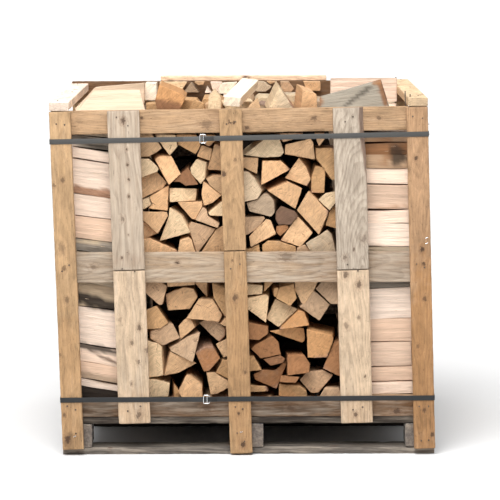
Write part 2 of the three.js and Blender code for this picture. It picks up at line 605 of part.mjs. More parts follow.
// A stack of logs that lie across the crate, their sawn ends facing the side: a file of listed heights at
// the front, and courses behind it.
function buildSideLogs(side, sign) {
  const random = seededRandom(sign > 0 ? 5 : 7);
  const { heights, slope } = SIDE_FILES[side];
  const front = -STACK_FRONT;
  const fileEdge = front + SIDE_FILE_DEPTH;
  const area = { ...SIDE_STACK, left: fileEdge, right: STACK_FRONT };
  const tip = () => sign * (SIDE_STACK_OUTER - random() * END_STEP);
  const logs = stackedCourses(17 + sign, area, 104, 110).map((outline) => ({ outline, tip: tip() }));
  let foot = STACK_FOOT;
  for (const height of heights) {
    const lean = (random() - 0.5) * 14;
    const head = foot + height;
    const outline = [[front, foot], [fileEdge, foot + lean], [fileEdge, head + lean], [front, head]];
    logs.push({ outline, tip: tip(), slope });
    foot = head;
  }
  const solid = stackSolid({
    logs,
    axis: "x",
    bodyPlane: sign * (SIDE_STACK_OUTER - BODY_SETBACK),
    hiddenEnd: sign * SIDE_STACK_INNER,
    endGrowth: -END_INSET,
    bodyGrowth: BEARING,
  });
  const geometry = racked(trimmed(solid, { ...area, left: front }, "x"));
  addMesh(`logs_${side}`, geometry, "logWood");
  return solidFrom(geometry);
}

// Loose logs thrown on top: the outlines of the two ends, the place of the foot, and the turn in degrees.
function buildTopLogs() {
  const half = LOG_LENGTH / 2;
  const ridge = [[-55, 0], [55, 2], [14, 68]];
  const block = [[-44, 0], [42, 0], [46, 66], [-36, 70]];
  const stump = [[-38, 0], [36, 2], [40, 72], [-34, 84]];
  const slab = [[-30, 0], [28, 0], [32, 34], [-26, 36]];
  const wedge = [[-48, 0], [50, 0], [-8, 84]];
  const thinQuarter = [[-50, 0], [48, 0], [28, 40], [-24, 44]];
  const thickQuarter = [[-50, 0], [48, 0], [24, 98], [-28, 90]];
  const logs = [
    ["pale_left", "x", ridge, ridge, [-432, -345, 1101], [0, 0, 6], "logWood"],
    ["pale_back", "x", block, block, [-440, -130, 1096], [0, 0, 0], "logWood"],
    ["block", "y", stump, stump, [-232, -356, 1105], [0, 0, -5], "logWood"],
    ["white", "y", slab, slab, [-8, -335, 1140], [12, 0, -15], "logWood"],
    ["wedge", "y", wedge, wedge, [118, -355, 1106], [2, 0, 2], "logWood"],
    ["bark_quarter", "x", thinQuarter, thickQuarter, [361, -330, 1102], [0, 0, -4], "barkLog"],
    ["pale_right", "x", stump, stump, [409, 120, 1096], [0, 0, 0], "logWood"],
  ];
  for (const [name, axis, near, far, foot, turn, surface] of logs) {
    const log = loft([{ outline: near, along: -half }, { outline: far, along: half }], axis);
    addMesh(`log_top_${name}`, log, surface, foot, turn.map(THREE.MathUtils.degToRad));
  }
}

buildPallet();
buildFront();
buildBack();
buildSide("left", -1);
buildSide("right", 1);
addStrap("upper", UPPER_STRAP_Z, UPPER_STRAP_TILT_DEGREES, -128);
addStrap("lower", LOWER_STRAP_Z, 0.2, -121);
const sideStacks = buildSideLogs("left", -1).add(buildSideLogs("right", 1));
buildFrontLogs(sideStacks);
buildBackLogs();
buildTopLogs();

export default firewood;
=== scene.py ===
# A pallet of firewood, dressed for a close look: rough boards, separate split logs, straps and nails, each
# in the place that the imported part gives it. Metres, +X right, +Y to the back, +Z up.
import math
import random

import bpy
from mathutils import Matrix, Vector, noise


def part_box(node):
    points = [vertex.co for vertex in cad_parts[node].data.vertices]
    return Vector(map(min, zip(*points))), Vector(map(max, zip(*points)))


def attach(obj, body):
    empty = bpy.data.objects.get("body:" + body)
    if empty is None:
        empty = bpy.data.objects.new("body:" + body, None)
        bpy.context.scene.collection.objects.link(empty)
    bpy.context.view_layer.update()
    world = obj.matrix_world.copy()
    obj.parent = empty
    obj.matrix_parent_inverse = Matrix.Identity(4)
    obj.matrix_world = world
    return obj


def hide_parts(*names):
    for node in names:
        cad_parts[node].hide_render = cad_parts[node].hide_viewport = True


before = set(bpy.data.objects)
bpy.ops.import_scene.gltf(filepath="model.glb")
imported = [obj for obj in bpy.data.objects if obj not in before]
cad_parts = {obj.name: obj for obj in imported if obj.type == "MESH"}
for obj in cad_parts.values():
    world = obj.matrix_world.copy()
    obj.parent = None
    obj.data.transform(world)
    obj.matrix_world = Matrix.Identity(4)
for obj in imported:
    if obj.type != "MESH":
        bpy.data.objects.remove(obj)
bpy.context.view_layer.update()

# The crate has racked to the left, and its front top rail rises to the right.
RACK = math.radians(1.6)
FRAME_MIDDLE = 0.558
TOP_RAIL_TILT = math.radians(0.6)

X_AXIS = Vector((1, 0, 0))
Y_AXIS = Vector((0, 1, 0))
Z_AXIS = Vector((0, 0, 1))
LEAN_UP = Vector((-math.sin(RACK), 0, math.cos(RACK)))
LEAN_ACROSS = Vector((math.cos(RACK), 0, math.sin(RACK)))
RAIL_RUN = Vector((math.cos(TOP_RAIL_TILT), 0, math.sin(TOP_RAIL_TILT)))
RAIL_UP = Vector((-math.sin(TOP_RAIL_TILT), 0, math.cos(TOP_RAIL_TILT)))

# Sizes of the pieces that are not read from the part.
LOG_LENGTH = 0.225
SIDE_LOG_LENGTH = 0.2
STRAP_WIDTH = 0.016
STRAP_THICKNESS = 0.0012
STRAP_HALF_X = 0.6016
STRAP_HALF_Y = 0.5249
NAIL_HEAD = 0.0027
NAIL_HEAD_HEIGHT = 0.0016
FRONT_FACE = -0.5238
DECK_TOP = 0.140
# A knot too far off to show.
FAR_AWAY = (99.0, 99.0, 0.0)


def rack_at(z):
    """How far sideways the racked frame has moved at a level."""
    return math.tan(RACK) * (FRAME_MIDDLE - z)


def from_screen(red, green, blue):
    """A colour given as it shows on a screen, 0 to 255, as a linear colour."""
    return tuple(((c / 255 + 0.055) / 1.055) ** 2.4 for c in (red, green, blue))


TONES = {
    "tan": from_screen(194, 157, 119),
    "ochre": from_screen(184, 144, 102),
    "cream": from_screen(213, 184, 147),
    "straw": from_screen(201, 176, 142),
    "apricot": from_screen(207, 166, 125),
    "white": from_screen(238, 222, 200),
    "pale": from_screen(240, 219, 200),
    "pink": from_screen(232, 208, 188),
    "rose": from_screen(184, 152, 121),
    "orange": from_screen(186, 139, 94),
    "rust": from_screen(150, 106, 71),
    "brown": from_screen(130, 92, 64),
    "dark": from_screen(104, 80, 64),
    "grey": from_screen(192, 170, 142),
    "ashen": from_screen(160, 138, 114),
    "slate": from_screen(130, 120, 108),
    "honey": from_screen(173, 141, 105),
    "centre": from_screen(166, 134, 99),
    "russet": from_screen(164, 130, 98),
    "rail": from_screen(166, 135, 103),
    "drab": from_screen(168, 142, 114),
    "beige": from_screen(183, 160, 137),
    "silver": from_screen(182, 165, 147),
    "blond": from_screen(194, 170, 143),
    "umber": from_screen(112, 82, 56),
    "sunlit": from_screen(238, 205, 174),
    "lichen": from_screen(160, 150, 134),
    "blush": from_screen(211, 181, 157),
    "peach": from_screen(216, 190, 163),
    "pallet": from_screen(84, 79, 75),
    "shade": from_screen(90, 89, 90),
    "ember": from_screen(150, 110, 70),
    "gloom": from_screen(46, 38, 32),
}

# Logs whose tone stands out, by the middle of their sawn end in x and z. The rest are dealt at random.
FRONT_LOG_TONES = [
    (-0.298, 0.986, "tan"), (-0.240, 0.990, "cream"), (-0.176, 0.994, "ochre"), (-0.124, 0.970, "tan"),
    (-0.300, 0.930, "cream"), (-0.240, 0.922, "apricot"), (-0.187, 0.890, "brown"),
    (-0.142, 0.918, "straw"), (-0.088, 0.938, "tan"), (-0.289, 0.874, "tan"), (-0.269, 0.828, "apricot"),
    (-0.193, 0.838, "cream"), (-0.107, 0.845, "tan"), (-0.085, 0.873, "tan"), (-0.278, 0.757, "tan"),
    (-0.220, 0.757, "cream"), (-0.169, 0.789, "apricot"), (-0.085, 0.789, "cream"),
    (-0.117, 0.757, "rose"), (-0.130, 0.708, "rose"), (-0.302, 0.721, "apricot"),
    (-0.274, 0.673, "apricot"), (-0.190, 0.684, "tan"), (-0.086, 0.696, "tan"),
    (0.073, 0.983, "straw"), (0.181, 0.985, "tan"), (0.245, 1.013, "tan"), (0.261, 0.953, "ochre"),
    (0.029, 0.933, "tan"), (0.093, 0.913, "apricot"), (0.179, 0.901, "apricot"), (0.241, 0.880, "ochre"),
    (0.029, 0.861, "grey"), (0.057, 0.809, "ashen"), (0.141, 0.833, "apricot"), (0.223, 0.784, "tan"),
    (0.269, 0.816, "cream"), (0.137, 0.772, "dark"), (0.036, 0.744, "rose"), (0.058, 0.708, "tan"),
    (0.173, 0.716, "apricot"), (0.249, 0.691, "grey"), (0.279, 0.752, "ochre"), (0.096, 0.679, "ochre"),
    (0.123, 0.728, "rust"),
    (-0.282, 0.527, "rose"), (-0.202, 0.498, "tan"), (-0.205, 0.547, "tan"), (-0.137, 0.534, "tan"),
    (-0.125, 0.461, "apricot"), (-0.081, 0.502, "ochre"), (-0.283, 0.437, "ochre"),
    (-0.251, 0.388, "rose"), (-0.186, 0.404, "tan"), (-0.097, 0.400, "rose"), (-0.182, 0.347, "rose"),
    (-0.288, 0.311, "cream"), (-0.207, 0.290, "tan"), (-0.118, 0.306, "rust"), (-0.070, 0.343, "tan"),
    (-0.276, 0.216, "cream"), (-0.175, 0.216, "tan"), (-0.086, 0.232, "tan"), (-0.066, 0.273, "ochre"),
    (0.040, 0.534, "cream"), (0.076, 0.542, "ochre"), (0.136, 0.517, "ochre"), (0.193, 0.529, "tan"),
    (0.269, 0.517, "rose"), (0.052, 0.469, "cream"), (0.120, 0.448, "straw"), (0.229, 0.476, "rose"),
    (0.168, 0.432, "orange"), (0.152, 0.383, "orange"), (0.048, 0.395, "rust"),
    (0.245, 0.354, "orange"), (0.072, 0.338, "rust"), (0.100, 0.301, "brown"), (0.172, 0.285, "rust"),
    (0.043, 0.277, "ochre"), (0.087, 0.236, "rust"), (0.144, 0.240, "rust"), (0.237, 0.231, "rose"),
    (0.281, 0.293, "rust"), (0.156, 0.203, "ochre"), (0.277, 0.202, "rose"),
]
# Tones dealt to the other front logs, and to the logs of the sides and the back.
DEALT_TONES = ["tan", "tan", "ochre", "cream", "apricot", "ochre", "straw", "rose"]
STACK_TONES = [
    "tan", "ochre", "cream", "apricot", "straw", "rose", "pink", "orange", "rust", "grey", "blush",
]

# The logs that show beside the corner posts, by the height of their outer end: tone, age, and where their
# bark lies, as a direction in y and z with the depth that it covers.
SIDE_FILE_LOOKS = {
    "left": [
        (0.180, "gloom", 0.0, None), (0.232, "pink", 0.0, None), (0.272, "blush", 0.1, None),
        (0.330, "pink", 0.1, None), (0.421, "pink", 0.0, None),
        (0.519, "grey", 0.1, None), (0.583, "grey", 0.4, None), (0.635, "grey", 0.4, None),
        (0.682, "slate", 0.2, None), (0.739, "blush", 0.0, None), (0.811, "pink", 0.0, None),
        (0.902, "pink", 0.0, (-0.25, -1.0, 0.022)), (0.976, "pink", 0.05, None),
        (1.015, "slate", 0.2, None), (1.064, "grey", 0.5, None),
    ],
    "right": [
        (0.165, "rose", 0.2, None), (0.211, "pink", 0.0, None), (0.257, "blush", 0.05, None),
        (0.321, "blush", 0.0, None), (0.400, "blush", 0.05, None), (0.488, "pink", 0.0, None),
        (0.550, "slate", 0.3, None), (0.587, "grey", 0.3, None), (0.640, "grey", 0.3, None),
        (0.706, "pale", 0.0, None), (0.767, "pink", 0.0, None), (0.829, "blush", 0.05, None),
        (0.895, "pink", 0.0, None), (0.943, "rose", 0.0, None), (0.985, "rust", 0.0, None),
        (1.021, "rose", 0.0, None), (1.065, "pink", 0.1, None),
    ],
}

# Stain marks and painted shade seen from the front, by node: x, z, half width, half height, tilt in degrees,
# tone and strength.
STAINS_AND_PAINTED_SHADE = {
    "logs_right": [
        (0.492, 0.965, 0.030, 0.034, 10, "gloom", 0.85), (0.478, 1.006, 0.040, 0.012, 8, "dark", 0.6),
        (0.425, 1.003, 0.050, 0.016, 10, "brown", 0.7), (0.455, 0.955, 0.014, 0.026, -20, "rust", 0.6),
        (0.470, 0.795, 0.050, 0.007, 4, "rust", 0.5),
    ],
    # Painted shade: the gloom bands at 0.668, 0.494 and 0.340 and the thin dark band at 0.306 lie in the
    # joints beneath logs.
    "logs_left": [
        (-0.470, 1.000, 0.050, 0.016, -22, "gloom", 0.8), (-0.555, 0.998, 0.030, 0.018, -20, "pale", 0.9),
        (-0.493, 0.688, 0.052, 0.008, -3, "straw", 0.7), (-0.470, 0.668, 0.050, 0.007, 4, "gloom", 0.6),
        (-0.476, 0.494, 0.110, 0.021, -17, "gloom", 0.97), (-0.440, 0.530, 0.040, 0.008, -14, "ashen", 0.7),
        (-0.468, 0.340, 0.110, 0.010, -11, "gloom", 0.9), (-0.440, 0.306, 0.050, 0.006, -24, "dark", 0.85),
        (-0.469, 0.244, 0.100, 0.012, -13, "ashen", 0.7),
    ],
    "logs_front_upper_left": [(-0.240, 0.853, 0.016, 0.013, 40, "rust", 0.45)],
    # Painted shade: the top block's lower part is laid dark brown, as its shaded underside.
    "log_top_block": [(-0.240, 1.122, 0.090, 0.020, -15, "brown", 1.0)],
    "log_top_wedge": [
        (0.142, 1.130, 0.034, 0.046, -10, "grey", 0.8), (0.150, 1.150, 0.020, 0.012, -50, "ashen", 0.6),
    ],
    "log_top_bark_quarter": [
        (0.376, 1.150, 0.062, 0.007, 36, "gloom", 0.65), (0.449, 1.158, 0.011, 0.050, 14, "brown", 0.95),
        (0.433, 1.192, 0.018, 0.014, 0, "rust", 0.8), (0.245, 1.130, 0.010, 0.016, 0, "rust", 0.8),
    ],
    "slat_front_left_upper": [(-0.369, 0.632, 0.050, 0.020, 0, "rust", 0.35)],
    "slat_front_left_lower": [(-0.340, 0.150, 0.060, 0.060, 0, "ember", 0.3)],
    "slat_front_right_lower": [(0.370, 0.150, 0.060, 0.050, 0, "ember", 0.25)],
    "post_front_left": [
        (-0.570, 0.200, 0.060, 0.260, 0, "ember", 0.3), (-0.560, 0.050, 0.020, 0.030, 0, "gloom", 0.3),
    ],
    "post_front_centre_lower": [(-0.010, 0.280, 0.050, 0.300, 0, "ember", 0.35)],
    "post_front_right": [(0.580, 0.300, 0.060, 0.340, 0, "ember", 0.75)],
    "rail_front_middle": [
        (0.420, 0.605, 0.260, 0.080, 0, "umber", 0.5), (-0.500, 0.605, 0.100, 0.060, 0, "slate", 0.4),
    ],
    "rail_front_top": [
        (-0.096, 1.105, 0.030, 0.014, 0, "umber", 0.3), (0.260, 1.060, 0.120, 0.020, 0, "umber", 0.25),
        (0.560, 1.070, 0.050, 0.030, 0, "umber", 0.35),
    ],
    "rail_front_bottom": [
        (-0.100, 0.150, 0.480, 0.060, 0, "gloom", 0.3), (-0.480, 0.150, 0.060, 0.030, 0, "gloom", 0.4),
        (0.160, 0.140, 0.120, 0.016, 0, "gloom", 0.5), (-0.150, 0.165, 0.140, 0.012, 0, "gloom", 0.4),
    ],
}


def stained_and_shaded(colour, place, stains_and_shade):
    """A colour with stain marks and painted shade laid over it at a place."""
    for x, z, half_wide, half_high, tilt, tone, strength in stains_and_shade:
        turn = math.radians(tilt)
        across = (place.x - x) * math.cos(turn) + (place.z - z) * math.sin(turn)
        upward = (place.z - z) * math.cos(turn) - (place.x - x) * math.sin(turn)
        apart = math.hypot(across / half_wide, upward / half_high)
        share = strength * smooth_step(1.3 - apart + 0.4 * noise.noise(place * 55), 0.0, 0.6)
        colour = tuple(c + (t - c) * share for c, t in zip(colour, TONES[tone]))
    return colour


def side_look(side, height):
    """Tone, age and bark of the listed side log whose height is nearest."""
    return min(SIDE_FILE_LOOKS[side], key=lambda row: abs(row[0] - height))[1:]


# Edges that turn more than this are shaded sharp.
SHARP_EDGE = math.radians(38)


class Shape:
    """Corners, faces and surface values of one piece while it is made."""

    def __init__(self):
        self.corners = []
        self.faces = []
        self.values = {"grain": [], "tone": [], "marks": [], "knot": [], "run": []}

    def corner(self, place, grain, tone, marks, knot=FAR_AWAY, run=(0, 0, 1)):
        """Adds a corner: grain coordinates, colour, (sawn end, bark, age), nearest knot, grain direction."""
        self.corners.append(tuple(place))
        for key, value in zip(self.values, (grain, tone, marks, knot, run)):
            self.values[key].append(tuple(value))
        return len(self.corners) - 1

    def skin(self, rings):
        """Faces from ring to ring; a ring of one corner is a centre, and closes an end."""
        for a, b in zip(rings, rings[1:]):
            count = max(len(a), len(b))
            for i in range(count):
                j = (i + 1) % count
                if len(a) == 1:
                    self.faces.append((a[0], b[j], b[i]))
                elif len(b) == 1:
                    self.faces.append((a[i], a[j], b[0]))
                else:
                    self.faces.append((a[i], a[j], b[j], b[i]))

    def mesh(self, name, material):
        """A mesh of the shape, with its surface values as attributes."""
        mesh = bpy.data.meshes.new(name)
        mesh.from_pydata(self.corners, [], self.faces)
        for key, values in self.values.items():
            attribute = mesh.attributes.new(key, "FLOAT_VECTOR", "POINT")
            attribute.data.foreach_set("vector", [c for value in values for c in value])
        mesh.materials.append(material)
        mesh.shade_smooth()
        mesh.set_sharp_from_angle(angle=SHARP_EDGE)
        return mesh


def add_piece(name, mesh, slot, nodes=()):
    """Puts a finished mesh in the scene as a piece that stands for these nodes."""
    piece = bpy.data.objects.new(name, mesh)
    bpy.context.scene.collection.objects.link(piece)
    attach(piece, "root")
    if nodes:
        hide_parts(*nodes)
    return piece


# Node trees

class Nodes:
    """Adds nodes to a tree and joins them."""

    def __init__(self, tree):
        self.tree = tree

    def add(self, kind, inputs=None, **settings):
        node = self.tree.nodes.new(kind)
        for key, value in settings.items():
            setattr(node, key, value)
        for key, value in (inputs or {}).items():
            if isinstance(value, bpy.types.NodeSocket):
                self.tree.links.new(value, node.inputs[key])
            else:
                node.inputs[key].default_value = value
        return node

    def math(self, operation, a, b=0.0, clamp=False):
        return self.add("ShaderNodeMath", {0: a, 1: b}, operation=operation, use_clamp=clamp).outputs[0]

    def plus(self, value, *terms):
        """A value with terms added to it, each as (socket, weight)."""
        for term, weight in terms:
            value = self.math("ADD", value, self.math("MULTIPLY", term, weight))
        return value

    def feed(self, value, socket):
        """Joins a value to a shader's socket."""
        self.tree.links.new(value, socket)

    def vector(self, operation, a, b):
        return self.add("ShaderNodeVectorMath", {0: a, 1: b}, operation=operation).outputs[0]

    def length(self, a):
        return self.add("ShaderNodeVectorMath", {0: a}, operation="LENGTH").outputs["Value"]

    def noise(self, vector, stretch, detail=3.0, roughness=0.55):
        """Noise on coordinates that are stretched first, so many waves to the metre along each."""
        place = self.vector("MULTIPLY", vector, stretch)
        inputs = {"Vector": place, "Scale": 1.0, "Detail": detail, "Roughness": roughness}
        return self.add("ShaderNodeTexNoise", inputs)

    def step(self, value, low, high, start=0.0, end=1.0):
        """A smooth step from start to end as the value goes from low to high."""
        inputs = {"Value": value, "From Min": low, "From Max": high, "To Min": start, "To Max": end}
        return self.add("ShaderNodeMapRange", inputs, interpolation_type="SMOOTHSTEP").outputs["Result"]

    def mix(self, factor, a, b, blend="MIX"):
        inputs = {0: factor, 6: a, 7: b}
        return self.add("ShaderNodeMix", inputs, data_type="RGBA", blend_type=blend).outputs[2]

    def attribute(self, name):
        return self.add("ShaderNodeAttribute", attribute_name=name).outputs["Vector"]


def shader_group(name, inputs, outputs):
    """A new shader node group with named sockets, and its input and output nodes."""
    tree = bpy.data.node_groups.new(name, "ShaderNodeTree")
    kinds = {"vector": "NodeSocketVector", "value": "NodeSocketFloat", "colour": "NodeSocketColor"}
    for socket, kind in inputs.items():
        tree.interface.new_socket(socket, in_out="INPUT", socket_type=kinds[kind])
    for socket, kind in outputs.items():
        tree.interface.new_socket(socket, in_out="OUTPUT", socket_type=kinds[kind])
    nodes = Nodes(tree)
    entry = nodes.add("NodeGroupInput")
    return tree, nodes, entry.outputs


def finish_group(nodes, outputs):
    """Joins the outputs of a group."""
    nodes.add("NodeGroupOutput", outputs)


# Linear colours of what lies over the wood's own tone.
GREY_STREAK = (0.20, 0.158, 0.118, 1.0)
GREY_WOOD = (0.50, 0.425, 0.340, 1.0)
MILDEW = (0.05, 0.043, 0.037, 1.0)
FRESH_FURROW = (0.10, 0.045, 0.024, 1.0)
FRESH_RIDGE = (0.56, 0.32, 0.20, 1.0)
OLD_FURROW = (0.055, 0.050, 0.045, 1.0)
OLD_RIDGE = (0.42, 0.38, 0.33, 1.0)
KNOT_HALO = (0.20, 0.11, 0.06, 1.0)
KNOT_CORE = (0.055, 0.03, 0.02, 1.0)
DIRTY_END = (0.16, 0.11, 0.075, 1.0)
DRYING_CHECK = (0.10, 0.055, 0.03, 1.0)
TORN_FIBRE = (0.42, 0.27, 0.15, 1.0)
FRESH_FIBRE = (0.86, 0.68, 0.50, 1.0)
BRIGHT_WIRE = (0.72, 0.73, 0.74, 1.0)
DULL_WIRE = (0.42, 0.41, 0.40, 1.0)
NAIL_IRON = (0.20, 0.18, 0.16, 1.0)
NAIL_RUST = (0.07, 0.035, 0.02, 1.0)
FLOOR_GREY = (0.67, 0.67, 0.67, 1.0)


def make_wood_figure():
    """Growth rings, fibre and streaks in the solid wood, bent round knots."""
    inputs = {"Grain": "vector", "Knot": "vector", "Ring spacing": "value", "Wander": "value"}
    names = ("Ring", "Fibre", "Streak", "Vein", "Knot core", "Knot halo")
    tree, nodes, given = shader_group("Wood figure", inputs, dict.fromkeys(names, "value"))
    grain = given["Grain"]
    drift = nodes.noise(grain, (9.0, 9.0, 2.2), 2.0).outputs["Color"]
    centred = nodes.vector("SUBTRACT", drift, (0.5, 0.5, 0.5))
    wander = nodes.add("ShaderNodeVectorMath", {0: centred, "Scale": given["Wander"]}, operation="SCALE")
    bent = nodes.vector("ADD", grain, wander.outputs[0])
    across = nodes.length(nodes.vector("MULTIPLY", bent, (1.0, 1.0, 0.0)))
    knot = nodes.length(nodes.vector("MULTIPLY", given["Knot"], (1.0, 1.0, 0.0)))
    strength = nodes.add("ShaderNodeSeparateXYZ", {0: given["Knot"]}).outputs["Z"]
    fray = nodes.math("SUBTRACT", nodes.noise(grain, (240.0, 240.0, 110.0), 4.0, 0.7).outputs[0], 0.5)
    ragged = nodes.math("ADD", knot, nodes.math("MULTIPLY", fray, 2.6))
    core = nodes.math("MULTIPLY", nodes.step(ragged, 1.05, 0.55), strength)
    halo = nodes.math("MULTIPLY", nodes.step(ragged, 2.3, 0.7), strength)
    swollen = nodes.math("ADD", across, nodes.math("MULTIPLY", halo, 0.012))
    turn = nodes.math("FRACT", nodes.math("DIVIDE", swollen, given["Ring spacing"]))
    ring = nodes.math("MULTIPLY", nodes.step(turn, 0.35, 0.85), nodes.step(turn, 1.0, 0.9))
    fibre = nodes.step(nodes.noise(bent, (380.0, 380.0, 16.0), 3.0, 0.65).outputs[0], 0.28, 0.72)
    streak = nodes.step(nodes.noise(bent, (105.0, 105.0, 5.0), 4.0, 0.62).outputs[0], 0.30, 0.70)
    vein = nodes.step(nodes.noise(bent, (190.0, 190.0, 9.0), 3.0, 0.6).outputs[0], 0.58, 0.72)
    finish_group(nodes, dict(zip(names, (ring, fibre, streak, vein, core, halo))))
    return tree


def make_weathering():
    """Greys old wood in streaks, with dark specks of mildew and dirt."""
    inputs = {"Color": "colour", "Grain": "vector", "Streak": "value", "Ring": "value", "Age": "value"}
    tree, nodes, given = shader_group("Weathering", inputs, {"Color": "colour"})
    grain = given["Grain"]
    cloud = nodes.noise(grain, (22.0, 22.0, 5.0), 4.0).outputs[0]
    reach = nodes.math("ADD", nodes.math("MULTIPLY", given["Age"], 1.1), nodes.math("SUBTRACT", cloud, 0.75))
    grey = nodes.step(nodes.math("ADD", reach, nodes.math("MULTIPLY", given["Streak"], 0.25)), -0.1, 0.6)
    pale = nodes.math("SUBTRACT", nodes.math("ADD", nodes.math("MULTIPLY", given["Streak"], 0.65), 0.28),
                      nodes.math("MULTIPLY", given["Ring"], 0.26), clamp=True)
    silver = nodes.mix(pale, GREY_STREAK, GREY_WOOD)
    old = nodes.step(given["Age"], 0.0, 0.3, 0.0, 0.7)
    aged = nodes.mix(nodes.math("MULTIPLY", grey, old), given["Color"], silver)
    blots = nodes.noise(grain, (120.0, 120.0, 26.0), 4.0, 0.7).outputs[0]
    speck = nodes.step(blots, 0.62, 0.74)
    dirt = nodes.math("MULTIPLY", speck, nodes.math("ADD", nodes.math("MULTIPLY", given["Age"], 0.7), 0.12))
    finish_group(nodes, {"Color": nodes.mix(dirt, aged, MILDEW)})
    return tree


def make_bark_crust():
    """Furrowed bark: ridges that run along the log, brown when fresh and grey when old."""
    inputs = {"Grain": "vector", "Age": "value"}
    outputs = {"Color": "colour", "Height": "value"}
    tree, nodes, given = shader_group("Bark crust", inputs, outputs)
    ridges = nodes.noise(given["Grain"], (150.0, 150.0, 38.0), 4.0, 0.6).outputs[0]
    patches = nodes.noise(given["Grain"], (45.0, 45.0, 18.0), 3.0).outputs[0]
    brown = nodes.mix(ridges, FRESH_FURROW, FRESH_RIDGE)
    grey = nodes.mix(ridges, OLD_FURROW, OLD_RIDGE)
    older = nodes.math("MULTIPLY", given["Age"], nodes.math("ADD", patches, 0.55), clamp=True)
    finish_group(nodes, {"Color": nodes.mix(older, brown, grey), "Height": ridges})
    return tree


def make_sawn_end():
    """Drying checks that run out from the heart of a sawn end, and the marks of the saw."""
    inputs = {"Grain": "vector"}
    outputs = {"Check": "value", "Saw mark": "value", "Cloud": "value", "Band": "value"}
    tree, nodes, given = shader_group("Sawn end", inputs, outputs)
    parts = nodes.add("ShaderNodeSeparateXYZ", {0: given["Grain"]}).outputs
    angle = nodes.math("ARCTAN2", parts["Y"], parts["X"])
    radius = nodes.length(nodes.vector("MULTIPLY", given["Grain"], (1.0, 1.0, 0.0)))
    ray = nodes.add("ShaderNodeCombineXYZ", {
        0: nodes.math("MULTIPLY", angle, 9.0), 1: nodes.math("MULTIPLY", radius, 14.0), 2: parts["Z"],
    }).outputs[0]
    crack = nodes.noise(ray, (1.0, 1.0, 1.0), 2.0).outputs[0]
    check = nodes.step(nodes.math("ABSOLUTE", nodes.math("SUBTRACT", crack, 0.5)), 0.020, 0.004)
    some = nodes.step(nodes.noise(given["Grain"], (30.0, 30.0, 1.0), 1.0).outputs[0], 0.52, 0.62)
    strokes = nodes.noise(given["Grain"], (28.0, 190.0, 1.0), 4.0, 0.7).outputs[0]
    saw = nodes.step(strokes, 0.32, 0.68)
    cloud = nodes.step(nodes.noise(given["Grain"], (30.0, 30.0, 1.0), 4.0, 0.6).outputs[0], 0.28, 0.72)
    turns = nodes.add("ShaderNodeCombineXYZ", {
        0: nodes.math("MULTIPLY", radius, 170.0), 1: nodes.math("MULTIPLY", angle, 0.8), 2: parts["Z"],
    }).outputs[0]
    band = nodes.step(nodes.noise(turns, (1.0, 1.0, 1.0), 3.0, 0.6).outputs[0], 0.3, 0.7)
    finish_group(nodes, {
        "Check": nodes.math("MULTIPLY", check, some), "Saw mark": saw, "Cloud": cloud, "Band": band,
    })
    return tree


def new_material(name):
    """A material with an empty tree, its Principled shader and a short hand for its nodes."""
    material = bpy.data.materials.new(name)
    material.use_nodes = True
    material.node_tree.nodes.clear()
    nodes = Nodes(material.node_tree)
    shader = nodes.add("ShaderNodeBsdfPrincipled")
    nodes.add("ShaderNodeOutputMaterial", {"Surface": shader.outputs[0]})
    return material, nodes, shader


def bumped(nodes, shader, height, strength, distance):
    """Feeds a height into the shader's normal."""
    bump = nodes.add("ShaderNodeBump", {"Height": height, "Strength": strength, "Distance": distance})
    nodes.feed(bump.outputs[0], shader.inputs["Normal"])


def place_group(nodes, tree, inputs):
    """A shader group placed in a material, with its own values."""
    return nodes.add("ShaderNodeGroup", inputs, node_tree=tree).outputs


def scaled_colour(nodes, colour, value):
    """A colour made darker or lighter by a value."""
    return nodes.add("ShaderNodeVectorMath", {0: colour, "Scale": value}, operation="SCALE").outputs[0]


WOOD_FIGURE = make_wood_figure()
WEATHERING = make_weathering()
BARK_CRUST = make_bark_crust()
SAWN_END = make_sawn_end()


